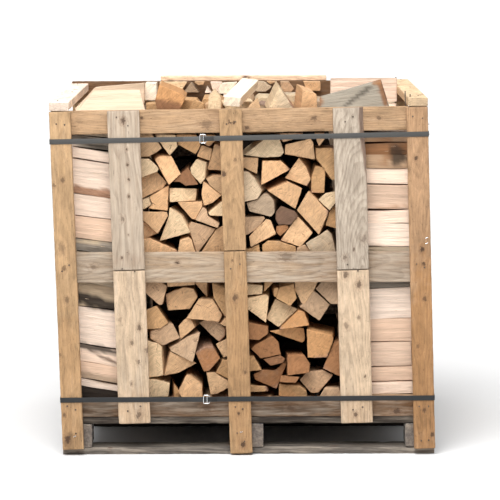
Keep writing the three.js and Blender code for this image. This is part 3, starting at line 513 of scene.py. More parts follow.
def make_board_material(name, ring_spacing, wander, contrast):
    """Rough-sawn board: figure, knots, weathering and bark left along a waney edge."""
    material, nodes, shader = new_material(name)
    grain = nodes.attribute("grain")
    tone = nodes.attribute("tone")
    marks = nodes.add("ShaderNodeSeparateXYZ", {0: nodes.attribute("marks")}).outputs
    figure = place_group(nodes, WOOD_FIGURE, {
        "Grain": grain, "Knot": nodes.attribute("knot"), "Ring spacing": ring_spacing, "Wander": wander,
    })
    patch = nodes.step(nodes.noise(grain, (14.0, 14.0, 5.0), 3.0).outputs[0], 0.3, 0.7)
    mottle = nodes.step(nodes.noise(grain, (62.0, 62.0, 24.0), 5.0, 0.66).outputs[0], 0.32, 0.68)
    pits = nodes.step(nodes.noise(grain, (330.0, 330.0, 130.0), 3.0, 0.6).outputs[0], 0.60, 0.74)
    light = nodes.plus(
        1.06 - 0.37 * contrast, (figure["Streak"], 0.15 * contrast), (patch, 0.16 * contrast),
        (mottle, 0.22 * contrast), (figure["Ring"], -0.13 * contrast), (figure["Vein"], -0.13 * contrast),
        (pits, -0.42 * contrast), (figure["Fibre"], 0.22 * contrast))
    plain = scaled_colour(nodes, tone, light)
    old = place_group(nodes, WEATHERING, {
        "Color": plain, "Grain": grain, "Streak": figure["Streak"], "Ring": figure["Ring"], "Age": marks["Z"],
    })
    stained = nodes.mix(nodes.math("MULTIPLY", figure["Knot halo"], 0.38), old["Color"], KNOT_HALO)
    knotted = nodes.mix(nodes.math("MULTIPLY", figure["Knot core"], 0.86), stained, KNOT_CORE)
    sawn = nodes.mix(nodes.math("MULTIPLY", marks["X"], 0.35), knotted, DIRTY_END)
    bark = place_group(nodes, BARK_CRUST, {"Grain": grain, "Age": 0.5})
    nodes.feed(nodes.mix(marks["Y"], sawn, bark["Color"]), shader.inputs["Base Color"])
    nodes.feed(nodes.plus(0.68, (figure["Fibre"], 0.25)), shader.inputs["Roughness"])
    shader.inputs["Specular IOR Level"].default_value = 0.25
    height = nodes.plus(
        figure["Fibre"], (figure["Ring"], 0.35), (figure["Knot core"], -0.5), (bark["Height"], marks["Y"]))
    bumped(nodes, shader, height, 0.55, 0.0016)
    return material


def make_log_material():
    """Split log: ringed sawn ends with checks, fibrous split faces and furrowed bark."""
    material, nodes, shader = new_material("Split log")
    grain = nodes.attribute("grain")
    tone = nodes.attribute("tone")
    marks = nodes.add("ShaderNodeSeparateXYZ", {0: nodes.attribute("marks")}).outputs
    figure = place_group(nodes, WOOD_FIGURE, {
        "Grain": grain, "Knot": FAR_AWAY, "Ring spacing": 0.0052, "Wander": 0.012,
    })
    end = place_group(nodes, SAWN_END, {"Grain": grain})
    fibrous = nodes.plus(
        0.76, (figure["Streak"], 0.20), (end["Cloud"], 0.10), (figure["Vein"], -0.14),
        (figure["Fibre"], 0.16))
    ringed = nodes.plus(
        0.70, (end["Cloud"], 0.30), (end["Band"], 0.20), (end["Saw mark"], 0.22), (figure["Ring"], -0.12))
    light = nodes.add("ShaderNodeMix", {0: marks["X"], 2: fibrous, 3: ringed}, data_type="FLOAT").outputs[0]
    plain = scaled_colour(nodes, tone, light)
    old = place_group(nodes, WEATHERING, {
        "Color": plain, "Grain": grain, "Streak": figure["Streak"], "Ring": figure["Ring"], "Age": marks["Z"],
    })
    split_open = nodes.math("MULTIPLY", nodes.math("MULTIPLY", end["Check"], marks["X"]), 0.75)
    checked = nodes.mix(split_open, old["Color"], DRYING_CHECK)
    bark = place_group(nodes, BARK_CRUST, {"Grain": grain, "Age": marks["Z"]})
    nodes.feed(nodes.mix(marks["Y"], checked, bark["Color"]), shader.inputs["Base Color"])
    nodes.feed(nodes.plus(0.72, (figure["Fibre"], 0.2)), shader.inputs["Roughness"])
    shader.inputs["Specular IOR Level"].default_value = 0.22
    split = nodes.math("ADD", figure["Fibre"], figure["Streak"])
    sawn = nodes.math("SUBTRACT", nodes.math("MULTIPLY", end["Saw mark"], 0.5), end["Check"])
    height = nodes.add("ShaderNodeMix", {0: marks["X"], 2: split, 3: sawn}, data_type="FLOAT").outputs[0]
    height = nodes.plus(height, (bark["Height"], nodes.math("MULTIPLY", marks["Y"], 3.0)))
    bumped(nodes, shader, height, 0.6, 0.002)
    return material


def make_strap_material():
    """Woven polyester strap: a fine twill across and along the band, a little sheen."""
    material, nodes, shader = new_material("Strap webbing")
    parts = nodes.add("ShaderNodeSeparateXYZ", {0: nodes.attribute("grain")}).outputs
    along = nodes.math("SINE", nodes.math("MULTIPLY", parts["Z"], 2300.0))
    twill = nodes.plus(0.0, (parts["X"], 5200.0), (parts["Z"], 1150.0))
    weave = nodes.math("MULTIPLY", along, nodes.math("SINE", twill))
    wear = nodes.noise(nodes.attribute("grain"), (500.0, 500.0, 14.0)).outputs[0]
    light = nodes.plus(0.74, (weave, 0.10), (wear, 0.5))
    nodes.feed(scaled_colour(nodes, nodes.attribute("tone"), light), shader.inputs["Base Color"])
    nodes.feed(nodes.plus(0.36, (wear, 0.25)), shader.inputs["Roughness"])
    bumped(nodes, shader, weave, 0.3, 0.0003)
    return material


def make_metal_material(name, light, dark, rust_from, roughness):
    """Bare or rusting steel wire and nails."""
    material, nodes, shader = new_material(name)
    place = nodes.add("ShaderNodeTexCoord").outputs["Object"]
    blots = nodes.noise(place, (420.0, 420.0, 420.0), 4.0).outputs[0]
    rust = nodes.step(blots, rust_from, rust_from + 0.18)
    nodes.feed(nodes.mix(rust, light, dark), shader.inputs["Base Color"])
    nodes.feed(nodes.step(rust, 0.0, 1.0, 0.95, 0.25), shader.inputs["Metallic"])
    nodes.feed(nodes.plus(roughness, (rust, 0.45)), shader.inputs["Roughness"])
    bumped(nodes, shader, blots, 0.35, 0.0004)
    return material


def make_splinter_material():
    """Fresh torn fibre."""
    material, nodes, shader = new_material("Torn splinter")
    place = nodes.add("ShaderNodeTexCoord").outputs["Object"]
    patch = nodes.noise(place, (60.0, 60.0, 60.0), 3.0).outputs[0]
    nodes.feed(nodes.mix(patch, TORN_FIBRE, FRESH_FIBRE), shader.inputs["Base Color"])
    nodes.feed(nodes.plus(0.7, (patch, 0.2)), shader.inputs["Roughness"])
    return material


BOARD_WOOD = make_board_material("Sawn softwood", 0.0062, 0.05, 1.15)
PALLET_WOOD = make_board_material("Weathered pallet board", 0.006, 0.04, 1.5)
LOG_WOOD = make_log_material()
STRAP_WEBBING = make_strap_material()
BUCKLE_STEEL = make_metal_material("Buckle wire", BRIGHT_WIRE, DULL_WIRE, 0.62, 0.24)
NAIL_STEEL = make_metal_material("Rusty nail", NAIL_IRON, NAIL_RUST, 0.40, 0.42)
SPLINTER_WOOD = make_splinter_material()


# Logs

def welded(node):
    """A CAD node's corners, each once, and its triangles."""
    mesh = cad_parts[node].data
    index = {}
    corners = []
    merged = []
    for vertex in mesh.vertices:
        key = tuple(round(c, 5) for c in vertex.co)
        if key not in index:
            index[key] = len(corners)
            corners.append(Vector(key))
        merged.append(index[key])
    triangles = [[merged[i] for i in face.vertices] for face in mesh.polygons]
    return corners, triangles


def sawn_ends(node, facing, nearest):
    """Outlines of the flat sawn ends of a solid that face one way, further out than the nearest plane."""
    corners, triangles = welded(node)
    ends = []
    for triangle in triangles:
        a, b, c = (corners[i] for i in triangle)
        normal = (b - a).cross(c - a)
        level = (a - X_AXIS * rack_at(a.z)).dot(facing)
        if normal.length > 1e-9 and normal.normalized().dot(facing) > 0.9 and level > nearest:
            ends.append(triangle)
    owner = {}
    groups = []
    for triangle in ends:
        touching = {id(owner[i]): owner[i] for i in triangle if i in owner}
        group = [triangle]
        for other in touching.values():
            group.extend(other)
            groups.remove(other)
        groups.append(group)
        for member in group:
            for i in member:
                owner[i] = group
    return [loop for group in groups for loop in outlines_of(group, corners)]


def outlines_of(triangles, corners):
    """The loops that bound some triangles, without the corners that lie on a straight edge."""
    following = {}
    edges = {(a, b) for t in triangles for a, b in zip(t, t[1:] + t[:1])}
    for a, b in sorted(edges):
        if (b, a) not in edges:
            following[a] = b
    loops = []
    while following:
        start = next(iter(following))
        loop = []
        step = start
        while step in following:
            loop.append(corners[step])
            step = following.pop(step)
        if len(loop) > 2:
            loops.append(without_straights(loop))
    return loops


def without_straights(loop):
    """A loop without the corners where it hardly turns."""
    kept = []
    for i, place in enumerate(loop):
        before = (place - loop[i - 1]).normalized()
        after = (loop[(i + 1) % len(loop)] - place).normalized()
        if before.angle(after, 0.0) > math.radians(2):
            kept.append(place)
    return kept


def middle_of(places):
    """The mean of some places."""
    return sum(places, Vector()) / len(places)


def turned_about(ring, axis):
    """The ring in the order that runs anticlockwise about the axis."""
    centre = middle_of(ring)
    area = Vector()
    for a, b in zip(ring, ring[1:] + ring[:1]):
        area += (a - centre).cross(b - centre)
    return ring if area.dot(axis) > 0 else ring[::-1]


def resampled(near, far, spacing):
    """Both end outlines with more corners, as many along each edge at both ends."""
    pairs = []
    for i in range(len(near)):
        j = (i + 1) % len(near)
        steps = max(2, round((near[j] - near[i]).length / spacing))
        for k in range(steps):
            pairs.append((near[i].lerp(near[j], k / steps), far[i].lerp(far[j], k / steps)))
    return pairs


def softened(ring, amount):
    """A ring with each corner drawn a little towards its neighbours."""
    count = len(ring)
    return [ring[i].lerp((ring[i - 1] + ring[(i + 1) % count]) / 2, amount) for i in range(count)]


def smooth_step(value, low, high):
    """From 0 to 1, smoothly, as the value goes from low to high."""
    t = min(1.0, max(0.0, (value - low) / (high - low)))
    return t * t * (3 - 2 * t)


# The surface of a log: how much its corners are rounded, the share of its length that each sawn end takes,
# the rings of corners on a sawn end, the depth of the saw's marks and of the furrows in the bark.
CORNER_SOFTENING = 0.14
END_SHARE = 0.008
SAWN_FACE_RINGS = (0.93, 0.72, 0.42)
SAW_RELIEF = 0.0009
BARK_FURROW = 0.0016


def add_log(shape, near, far, chance, tone, age=0.0, bark=None, rough=0.0024, grow=0.0, uneven=0.0,
            spacing=0.008, stations=9, stains_and_shade=()):
    """A split log between two end outlines: fibrous sides, sawn ends, and bark on one side if it has any.
    Bark is a direction and the depth from the outermost point that it covers."""
    axis = (middle_of(far) - middle_of(near)).normalized()
    paired = resampled(near, far, spacing)
    ordered = turned_about([a for a, _ in paired], axis)
    if ordered[0] != paired[0][0] or ordered[1] != paired[1][0]:
        paired.reverse()
    heart = chance.choice(near)
    heart = middle_of(near).lerp(heart, chance.uniform(0.5, 1.3))
    side = axis.orthogonal().normalized()
    up = axis.cross(side)
    seed = chance.uniform(0, 90)
    length = (middle_of(far) - middle_of(near)).length
    shade = chance.uniform(0.90, 1.07)
    warmth = chance.uniform(-0.03, 0.03)
    colour = tuple(c * shade * w for c, w in zip(TONES[tone], (1 + warmth, 1.0, 1 - warmth)))
    steps = [0.0, END_SHARE] + [k / stations for k in range(1, stations)] + [1.0 - END_SHARE, 1.0]

    def corner(place, end, crust):
        offset = place - heart
        grain = (offset.dot(side), offset.dot(up), offset.dot(axis) + seed)
        return shape.corner(place, grain, stained_and_shaded(colour, place, stains_and_shade), (end, crust, age), run=axis)

    def sawn_face(ring, crusts, outward):
        centre = middle_of(ring)
        rings = []
        for scale in SAWN_FACE_RINGS:
            places = [centre.lerp(place, scale) for place in ring]
            relief = [outward * SAW_RELIEF * noise.noise(p * 90 + Vector((seed, 0, 0))) for p in places]
            outermost = scale == SAWN_FACE_RINGS[0]
            edge = [crust if outermost and crust > 0.5 else 0.0 for crust in crusts]
            rings.append([corner(p + d, 1.0, c * 0.35) for p, d, c in zip(places, relief, edge)])
        return [[corner(centre, 1.0, 0.0)]] + rings[::-1]

    rings = []
    for t in steps:
        flat = softened([a.lerp(b, t) for a, b in paired], CORNER_SOFTENING)
        at_end = t in (0.0, 1.0)
        around = 0.0
        ring = []
        crusts = []
        reach = max(place.dot(bark[0]) for place in flat) if bark else 0.0
        for i, place in enumerate(flat):
            ahead = flat[(i + 1) % len(flat)]
            turn = (place - flat[i - 1]).angle(ahead - place, 0.0)
            outward = (ahead - flat[i - 1]).cross(axis).normalized() / max(0.6, math.cos(turn / 2))
            along = t * length
            ridge = noise.noise(Vector((around * 75, along * 5, seed)))
            torn = noise.noise(Vector((around * 230, along * 14, seed + 7)))
            swell = noise.noise(Vector((around * 16, along * 7, seed + 3)))
            sink = rough * (0.55 + 0.45 * ridge + 0.25 * torn) - grow + uneven * swell
            crust = 0.0
            if bark:
                depth = bark[1] * (0.85 + 0.5 * noise.noise(Vector((along * 22, seed, around * 8))))
                crust = smooth_step(place.dot(bark[0]), reach - depth - 0.003, reach - depth + 0.001)
                sink += crust * BARK_FURROW * noise.noise(place * 130 + Vector((0, seed, 0)))
            inset = 0.0010 + 0.0012 * abs(noise.noise(place * 140)) if at_end else 0.0
            ring.append(place - outward * (sink + inset))
            crusts.append(crust)
            around += (ahead - place).length
        rings.append((ring, crusts, 1.0 if at_end else 0.0))
    near_face = sawn_face(rings[0][0], rings[0][1], -axis)
    far_face = sawn_face(rings[-1][0], rings[-1][1], axis)
    sides = [[corner(p, end, c) for p, c in zip(ring, crusts)] for ring, crusts, end in rings]
    shape.skin(near_face + sides + far_face[::-1])


# How far the corners of a split outline wander, where in the noise each direction of the wander is read,
# and the share of the corners that is broken off.
SPLIT_WANDER = 0.016
WANDER_LAYERS = (0.0, 37.3, 74.6)
BROKEN_CORNERS = 0.65


def roughed(outline, chance, seed):
    """An outline as a split log would have it: moved by a slow wander, some corners gone, edges dished."""
    middle = middle_of(outline)
    square_on = (outline[1] - outline[0]).cross(outline[2] - outline[1]).normalized()
    moved = []
    for place in outline:
        wander = [noise.noise(place * 9 + Vector((seed, seed, layer))) for layer in WANDER_LAYERS]
        drift = Vector(wander) * SPLIT_WANDER
        moved.append(place + drift - square_on * drift.dot(square_on))
    rough = []
    for i, place in enumerate(moved):
        before = moved[i - 1]
        after = moved[(i + 1) % len(moved)]
        if chance.random() < BROKEN_CORNERS:
            rough.append(place.lerp(before, chance.uniform(0.06, 0.24)))
            rough.append(place.lerp(after, chance.uniform(0.06, 0.24)))
        else:
            rough.append(place)
        waist = place.lerp(after, chance.uniform(0.4, 0.6))
        rough.append(waist.lerp(middle, chance.uniform(-0.05, 0.10)))
    return rough


def dealt_bark(chance, outline, odds):
    """Bark on a side chosen at random, for some of the logs."""
    if chance.random() > odds:
        return None
    across = chance.choice(outline) - middle_of(outline)
    if across.length < 1e-4:
        return None
    return across.normalized(), chance.uniform(0.004, 0.014)


def holds(outline, x, z):
    """Whether an outline seen from the front goes round a point."""
    inside = False
    for a, b in zip(outline, outline[1:] + outline[:1]):
        if (a.z > z) != (b.z > z) and x < a.x + (b.x - a.x) * (z - a.z) / (b.z - a.z):
            inside = not inside
    return inside


def front_tone(outline, chance):
    """The tone listed for a front log, or one dealt at random."""
    dealt = chance.choice(DEALT_TONES)
    return next((tone for x, z, tone in FRONT_LOG_TONES if holds(outline, x, z)), dealt)


# Planes beyond which a stack's sawn ends are looked for, from the middle of the part.
END_PLANE = 0.45
SIDE_END_PLANE = 0.522
# In y, where the file of side logs behind the front posts stops, and where the side stacks stop.
FILE_BACK = -0.375
STACK_BACK = 0.470
# Slope of the side logs that show, above and below the middle rails.
SIDE_SLOPES = {"left": (-0.12, -0.17), "right": (0.01, 0.01)}
MIDDLE_RAIL_LEVEL = 0.6
# The ages dealt to the logs of the sides, the back and the inside.
STACK_AGES = (0.0, 0.1, 0.3)


def make_front_logs():
    """The four bays of logs that lie end-on at the front."""
    chance = random.Random(11)
    for bay in ("upper_left", "upper_right", "lower_left", "lower_right"):
        node = f"logs_front_{bay}"
        shape = Shape()
        for outline in sawn_ends(node, -Y_AXIS, END_PLANE):
            middle = middle_of(outline)
            skew = Vector((chance.uniform(-0.030, 0.030), LOG_LENGTH - 0.03, chance.uniform(-0.026, 0.010)))
            far = [place + skew for place in outline]
            recess = chance.choice((0.0, 0.0, 0.004, 0.012, 0.024))
            slant = Vector((chance.uniform(-0.22, 0.22), 0, chance.uniform(-0.20, 0.12)))
            near = [place + Y_AXIS * (recess + (place - middle).dot(slant)) for place in outline]
            tone = front_tone(outline, chance)
            age = chance.choice((0.0, 0.0, 0.05, 0.12)) + (0.1 if tone in ("grey", "ashen") else 0.0)
            add_log(shape, near, far, chance, tone, age, dealt_bark(chance, outline, 0.3), grow=0.0022,
                    spacing=0.006, stains_and_shade=STAINS_AND_PAINTED_SHADE.get(node, ()))
        add_piece(f"split_{node}", shape.mesh(f"split_{node}", LOG_WOOD), "log_wood", [node])


def make_side_logs():
    """The two stacks that lie across at the sides, with the looks of the file that shows at the front."""
    chance = random.Random(12)
    for side, sign in (("left", -1), ("right", 1)):
        node = f"logs_{side}"
        shape = Shape()
        for outline in sawn_ends(node, X_AXIS * sign, SIDE_END_PLANE):
            middle = middle_of(outline)
            in_file = middle.y < FILE_BACK
            if not in_file:
                outline = roughed(outline, chance, sign)
                for place in outline:
                    place.y = max(FILE_BACK, min(STACK_BACK, place.y))
            slope = SIDE_SLOPES[side][middle.z < MIDDLE_RAIL_LEVEL]
            drop = slope + chance.uniform(-0.03, 0.03) if in_file else chance.uniform(-0.04, 0.04)
            run = Vector((-sign * SIDE_LOG_LENGTH, 0, -sign * drop * SIDE_LOG_LENGTH))
            far = [place + run for place in outline]
            if in_file:
                tone, age, bark = side_look(side, middle.z)
                bark = (Vector((0, bark[0], bark[1])).normalized(), bark[2]) if bark else None
            else:
                tone = chance.choice(STACK_TONES)
                age = chance.choice(STACK_AGES)
                bark = dealt_bark(chance, outline, 0.5)
            add_log(shape, outline, far, chance, tone, age, bark, rough=0.0030, grow=0.0046, uneven=0.0034,
                    spacing=0.008, stations=14, stains_and_shade=STAINS_AND_PAINTED_SHADE.get(node, ()) if in_file else ())
        add_piece(f"split_{node}", shape.mesh(f"split_{node}", LOG_WOOD), "log_wood", [node])


# Ends of the last course at the back, under the plank: tone, and the corners in x and z.
BACK_COURSE = [
    ("cream", [(-0.299, 1.147), (-0.199, 1.147), (-0.222, 1.112), (-0.297, 1.112)]),
    ("ashen", [(-0.217, 1.110), (-0.186, 1.147), (-0.156, 1.110)]),
    ("tan", [(-0.177, 1.148), (-0.138, 1.148), (-0.142, 1.137), (-0.162, 1.134)]),
    ("pale", [(-0.140, 1.108), (-0.131, 1.132), (-0.111, 1.108)]),
    ("pink", [(-0.120, 1.147), (-0.076, 1.146), (-0.085, 1.112), (-0.111, 1.118)]),
    ("white", [(-0.085, 1.141), (-0.023, 1.146), (-0.049, 1.105), (-0.094, 1.105)]),
    ("grey", [(0.043, 1.147), (0.070, 1.147), (0.101, 1.131), (0.079, 1.112), (0.041, 1.112)]),
    ("tan", [(0.079, 1.148), (0.114, 1.148), (0.092, 1.137)]),
    ("rose", [(0.127, 1.147), (0.158, 1.147), (0.178, 1.122), (0.167, 1.110), (0.132, 1.112)]),
    ("pale", [(0.180, 1.110), (0.202, 1.132), (0.215, 1.110)]),
    ("apricot", [(0.209, 1.147), (0.271, 1.147), (0.271, 1.114), (0.220, 1.114)]),
]
WHITE_CHUNK = [(-0.336, 1.118), (-0.286, 1.118), (-0.288, 1.176), (-0.326, 1.176)]
WHITE_CHUNK_NEAR = -0.140
WHITE_CHUNK_FAR = -0.030
BACK_COURSE_NEAR = 0.395
BACK_COURSE_FAR = 0.470

# The two rows inside: y of their near ends, and whether they are the back stack's outlines mirrored.
INNER_ROWS = ((-0.236, -1), (0.006, 1))
BACK_STACK_TOP = 1.106
INNER_STACK_TOP = 1.128
# Below this level the inner logs, seen only through gaps, are painted in the gloom tone as shade.
PAINTED_SHADE_BELOW = 1.0


def standing_at(outline, y):
    """An outline of x and z, stood up at one depth."""
    return [Vector((x, y, z)) for x, z in outline]


def add_back_logs(shape, outlines, chance):
    """The stack that lies end-on at the back."""
    for outline in outlines:
        middle = middle_of(outline)
        swollen = roughed([middle + (place - middle) * 1.05 for place in outline], chance, 3.0)
        recess = Y_AXIS * chance.choice((0.0, 0.0, 0.006, 0.014))
        swollen = [place - recess for place in swollen]
        skew = Vector((chance.uniform(-0.006, 0.006), -LOG_LENGTH + 0.01, chance.uniform(-0.008, 0.004)))
        far = [place + skew for place in swollen]
        tone = chance.choice(STACK_TONES)
        bark = dealt_bark(chance, outline, 0.5)
        add_log(shape, swollen, far, chance, tone, chance.choice(STACK_AGES), bark, spacing=0.009)


def add_inner_rows(shape, outlines, chance):
    """The two rows behind the front bays, on the back stack's outlines; below a level they are painted in the
    gloom tone as shade, so only their tops keep their own tones.
    """
    stretch = (INNER_STACK_TOP - DECK_TOP) / (BACK_STACK_TOP - DECK_TOP)
    for near_y, flip in INNER_ROWS:
        for outline in outlines:
            near = []
            for place in outline:
                z = DECK_TOP + (place.z - DECK_TOP) * stretch
                straight = place.x - rack_at(place.z)
                near.append(Vector((flip * straight + rack_at(z), near_y, z)))
            near = roughed(near, chance, near_y)
            sideways = chance.uniform(-0.012, 0.012)
            length = LOG_LENGTH * chance.uniform(0.9, 1.0)
            shift = Vector((sideways, length, chance.uniform(-0.006, 0.002)))
            far = [place + shift for place in near]
            tone = chance.choice(DEALT_TONES)
            # Painted shade: low inner logs get the gloom tone.
            tone = tone if middle_of(near).z > PAINTED_SHADE_BELOW else "gloom"
            bark = dealt_bark(chance, near, 0.3)
            age = chance.choice(STACK_AGES)
            add_log(shape, near, far, chance, tone, age, bark, spacing=0.016, stations=5)


def make_back_and_inner_logs():
    """The back stack with its last course, and the rows inside with the white chunk on top."""
    chance = random.Random(13)
    back = Shape()
    inner = Shape()
    outlines = sawn_ends("logs_back", Y_AXIS, END_PLANE)
    add_back_logs(back, outlines, chance)
    add_inner_rows(inner, outlines, chance)
    for tone, outline in BACK_COURSE:
        near = standing_at(outline, BACK_COURSE_NEAR)
        far = standing_at(outline, BACK_COURSE_FAR)
        add_log(back, near, far, chance, tone, 0.05, spacing=0.007, stations=4)
    near = standing_at(WHITE_CHUNK, WHITE_CHUNK_NEAR)
    far = standing_at(WHITE_CHUNK, WHITE_CHUNK_FAR)
    add_log(inner, near, far, chance, "white", 0.0, spacing=0.007, stations=6)
    add_piece("split_logs_back", back.mesh("split_logs_back", LOG_WOOD), "log_wood", ["logs_back"])
    add_piece("split_logs_inner", inner.mesh("split_logs_inner", LOG_WOOD), "log_wood", ["logs_inner"])


# The loose logs on top: the way each lies, tone, age, and bark as a direction with the depth that it covers.
TOP_LOG_LOOKS = {
    "pale_left": (X_AXIS, "peach", 0.0, None),
    "pale_back": (X_AXIS, "peach", 0.0, None),
    "block": (Y_AXIS, "orange", 0.0, None),
    "white": (Y_AXIS, "white", 0.0, None),
    "wedge": (Y_AXIS, "cream", 0.1, ((1.0, 0.0, 0.3), 0.012)),
    "bark_quarter": (X_AXIS, "lichen", 0.0, None),
    "pale_right": (X_AXIS, "pink", 0.0, None),
}
# How far an end leans over: its shift along the log for each metre of height, at the near and the far end.
TOP_LOG_LEANS = {"pale_left": (0.95, -0.2), "pale_back": (0.9, 0.0), "bark_quarter": (0.0, -0.3)}
PALE_BACK_RISE = 0.014
BLOCK_END = [
    (-0.275, 1.109), (-0.201, 1.108), (-0.181, 1.150), (-0.197, 1.164), (-0.268, 1.192), (-0.283, 1.142),
]
ANYWHERE = -9.0
BLOCK_NEAR_Y = -0.468
BLOCK_FAR_Y = -0.245

def make_top_logs():
    """The loose logs on top, each between the two sawn ends of its solid."""
    chance = random.Random(14)
    for name, (axis, tone, age, bark) in TOP_LOG_LOOKS.items():
        node = f"log_top_{name}"
        near = sawn_ends(node, -axis, ANYWHERE)[0]
        far = sawn_ends(node, axis, ANYWHERE)[0]
        run = middle_of(far) - middle_of(near)
        near = turned_about(near, run)
        far = turned_about(far, run)
        shifts = [far[k:] + far[:k] for k in range(len(far))]
        far = min(shifts, key=lambda ring: sum((b - a - run).length for a, b in zip(near, ring)))
        if name == "block":
            near = standing_at(BLOCK_END, BLOCK_NEAR_Y)
            far = standing_at(BLOCK_END, BLOCK_FAR_Y)
        foot = min(place.z for place in near)
        lean_near, lean_far = TOP_LOG_LEANS.get(name, (0.0, 0.0))
        near = [place + axis * lean_near * (place.z - foot) for place in near]
        far = [place + axis * lean_far * (place.z - foot) for place in far]
        if name == "pale_back":
            far = [place + Z_AXIS * PALE_BACK_RISE for place in far]
        bark = (Vector(bark[0]).normalized(), bark[1]) if bark else None
        shape = Shape()
        add_log(shape, near, far, chance, tone, age, bark, rough=0.003, spacing=0.006, stations=24,
                stains_and_shade=STAINS_AND_PAINTED_SHADE.get(node, ()))
        slot = "bark_log" if name == "bark_quarter" else "log_wood"
        add_piece(f"loose_{node}", shape.mesh(f"loose_{node}", LOG_WOOD), slot, [node])


# Boards

# Directions of a board's length, width and outer face.
FRONT_UPRIGHT = (LEAN_UP, LEAN_ACROSS, -Y_AXIS)
BACK_UPRIGHT = (LEAN_UP, -LEAN_ACROSS, Y_AXIS)
FRONT_RAIL = (X_AXIS, Z_AXIS, -Y_AXIS)
TILTED_RAIL = (RAIL_RUN, RAIL_UP, -Y_AXIS)
BACK_RAIL = (X_AXIS, Z_AXIS, Y_AXIS)
FLAT_ALONG_X = (X_AXIS, Y_AXIS, Z_AXIS)
FLAT_ALONG_Y = (Y_AXIS, X_AXIS, Z_AXIS)
SIDE_RAIL = (Y_AXIS, Z_AXIS, X_AXIS)
SIDE_SLAT = (LEAN_UP, Y_AXIS, LEAN_ACROSS)

# Each board: how it lies, slot, tone, age, and its own knots as (x, z, radius, strength).
FRONT_BOARDS = {
    "post_front_left": (FRONT_UPRIGHT, "post_wood", "honey", 0.10, [
        (-0.574, 0.893, 0.007, 0.7), (-0.600, 0.877, 0.006, 0.6), (-0.581, 0.677, 0.013, 0.35),
        (-0.572, 0.609, 0.008, 0.6), (-0.565, 0.508, 0.008, 0.6), (-0.608, 0.576, 0.005, 0.6),
        (-0.578, 0.134, 0.006, 0.7), (-0.569, 0.053, 0.010, 0.9), (-0.590, 0.330, 0.006, 0.4),
    ]),
    "slat_front_left_upper": (FRONT_UPRIGHT, "slat_wood", "beige", 0.55, [
        (-0.380, 1.081, 0.008, 0.9), (-0.370, 0.990, 0.004, 0.9), (-0.367, 0.941, 0.004, 0.9),
        (-0.364, 0.894, 0.004, 0.9), (-0.365, 0.840, 0.004, 0.9), (-0.385, 0.768, 0.007, 0.5),
        (-0.369, 0.657, 0.004, 0.8), (-0.388, 0.643, 0.004, 0.8), (-0.367, 0.717, 0.003, 0.6),
    ]),
    "slat_front_left_lower": (FRONT_UPRIGHT, "slat_wood", "blond", 0.22, [
        (-0.334, 0.418, 0.008, 0.8), (-0.359, 0.368, 0.006, 0.6), (-0.337, 0.307, 0.006, 0.6),
        (-0.362, 0.236, 0.005, 0.6), (-0.339, 0.134, 0.009, 0.7), (-0.309, 0.343, 0.009, 0.7),
        (-0.396, 0.443, 0.008, 0.4),
    ]),
    "post_front_centre_upper": (FRONT_UPRIGHT, "post_wood", "centre", 0.08, [
        (-0.044, 1.077, 0.005, 0.9), (-0.030, 1.073, 0.005, 0.9), (-0.062, 0.911, 0.008, 0.9),
        (-0.026, 0.955, 0.006, 0.6),
    ]),
    "post_front_centre_lower": (FRONT_UPRIGHT, "post_wood", "centre", 0.08, [
        (-0.036, 0.633, 0.004, 0.6), (-0.028, 0.514, 0.009, 0.8), (0.003, 0.273, 0.005, 0.7),
        (-0.018, 0.137, 0.005, 0.9), (-0.004, 0.035, 0.009, 1.0),
    ]),
    "slat_front_right_upper": (FRONT_UPRIGHT, "slat_wood", "silver", 0.75, [
        (0.384, 0.702, 0.010, 0.5), (0.351, 0.668, 0.005, 0.7), (0.323, 0.642, 0.007, 0.6),
    ]),
    "slat_front_right_lower": (FRONT_UPRIGHT, "slat_wood", "blond", 0.18, [
        (0.325, 0.586, 0.009, 0.8), (0.367, 0.554, 0.010, 0.8), (0.327, 0.422, 0.009, 0.5),
        (0.367, 0.448, 0.006, 0.5), (0.388, 0.257, 0.004, 0.8), (0.358, 0.132, 0.006, 0.8),
    ]),
    "post_front_right": (FRONT_UPRIGHT, "post_wood", "russet", 0.06, [
        (0.548, 0.959, 0.006, 0.9), (0.568, 0.667, 0.008, 1.0), (0.574, 0.621, 0.006, 0.9),
        (0.577, 0.508, 0.007, 0.7), (0.579, 0.147, 0.006, 0.8), (0.605, 0.067, 0.007, 0.9),
        (0.557, 0.355, 0.006, 0.5),
    ]),
    "rail_front_top": (TILTED_RAIL, "rail_wood", "rail", 0.12, [
        (-0.323, 1.088, 0.004, 0.9), (-0.117, 1.066, 0.016, 0.5), (0.225, 1.085, 0.008, 0.7),
        (0.012, 1.056, 0.006, 0.8), (0.430, 1.085, 0.006, 0.6),
    ]),
    "rail_front_middle": (FRONT_RAIL, "rail_wood", "drab", 0.42, [
        (-0.212, 0.624, 0.005, 1.0), (0.136, 0.641, 0.016, 0.45), (-0.480, 0.610, 0.008, 0.4),
    ]),
    "rail_front_bottom": (FRONT_RAIL, "rail_wood", "umber", 0.25, [
        (0.492, 0.139, 0.010, 0.8), (-0.120, 0.150, 0.012, 0.5), (0.150, 0.150, 0.010, 0.5),
    ]),
}
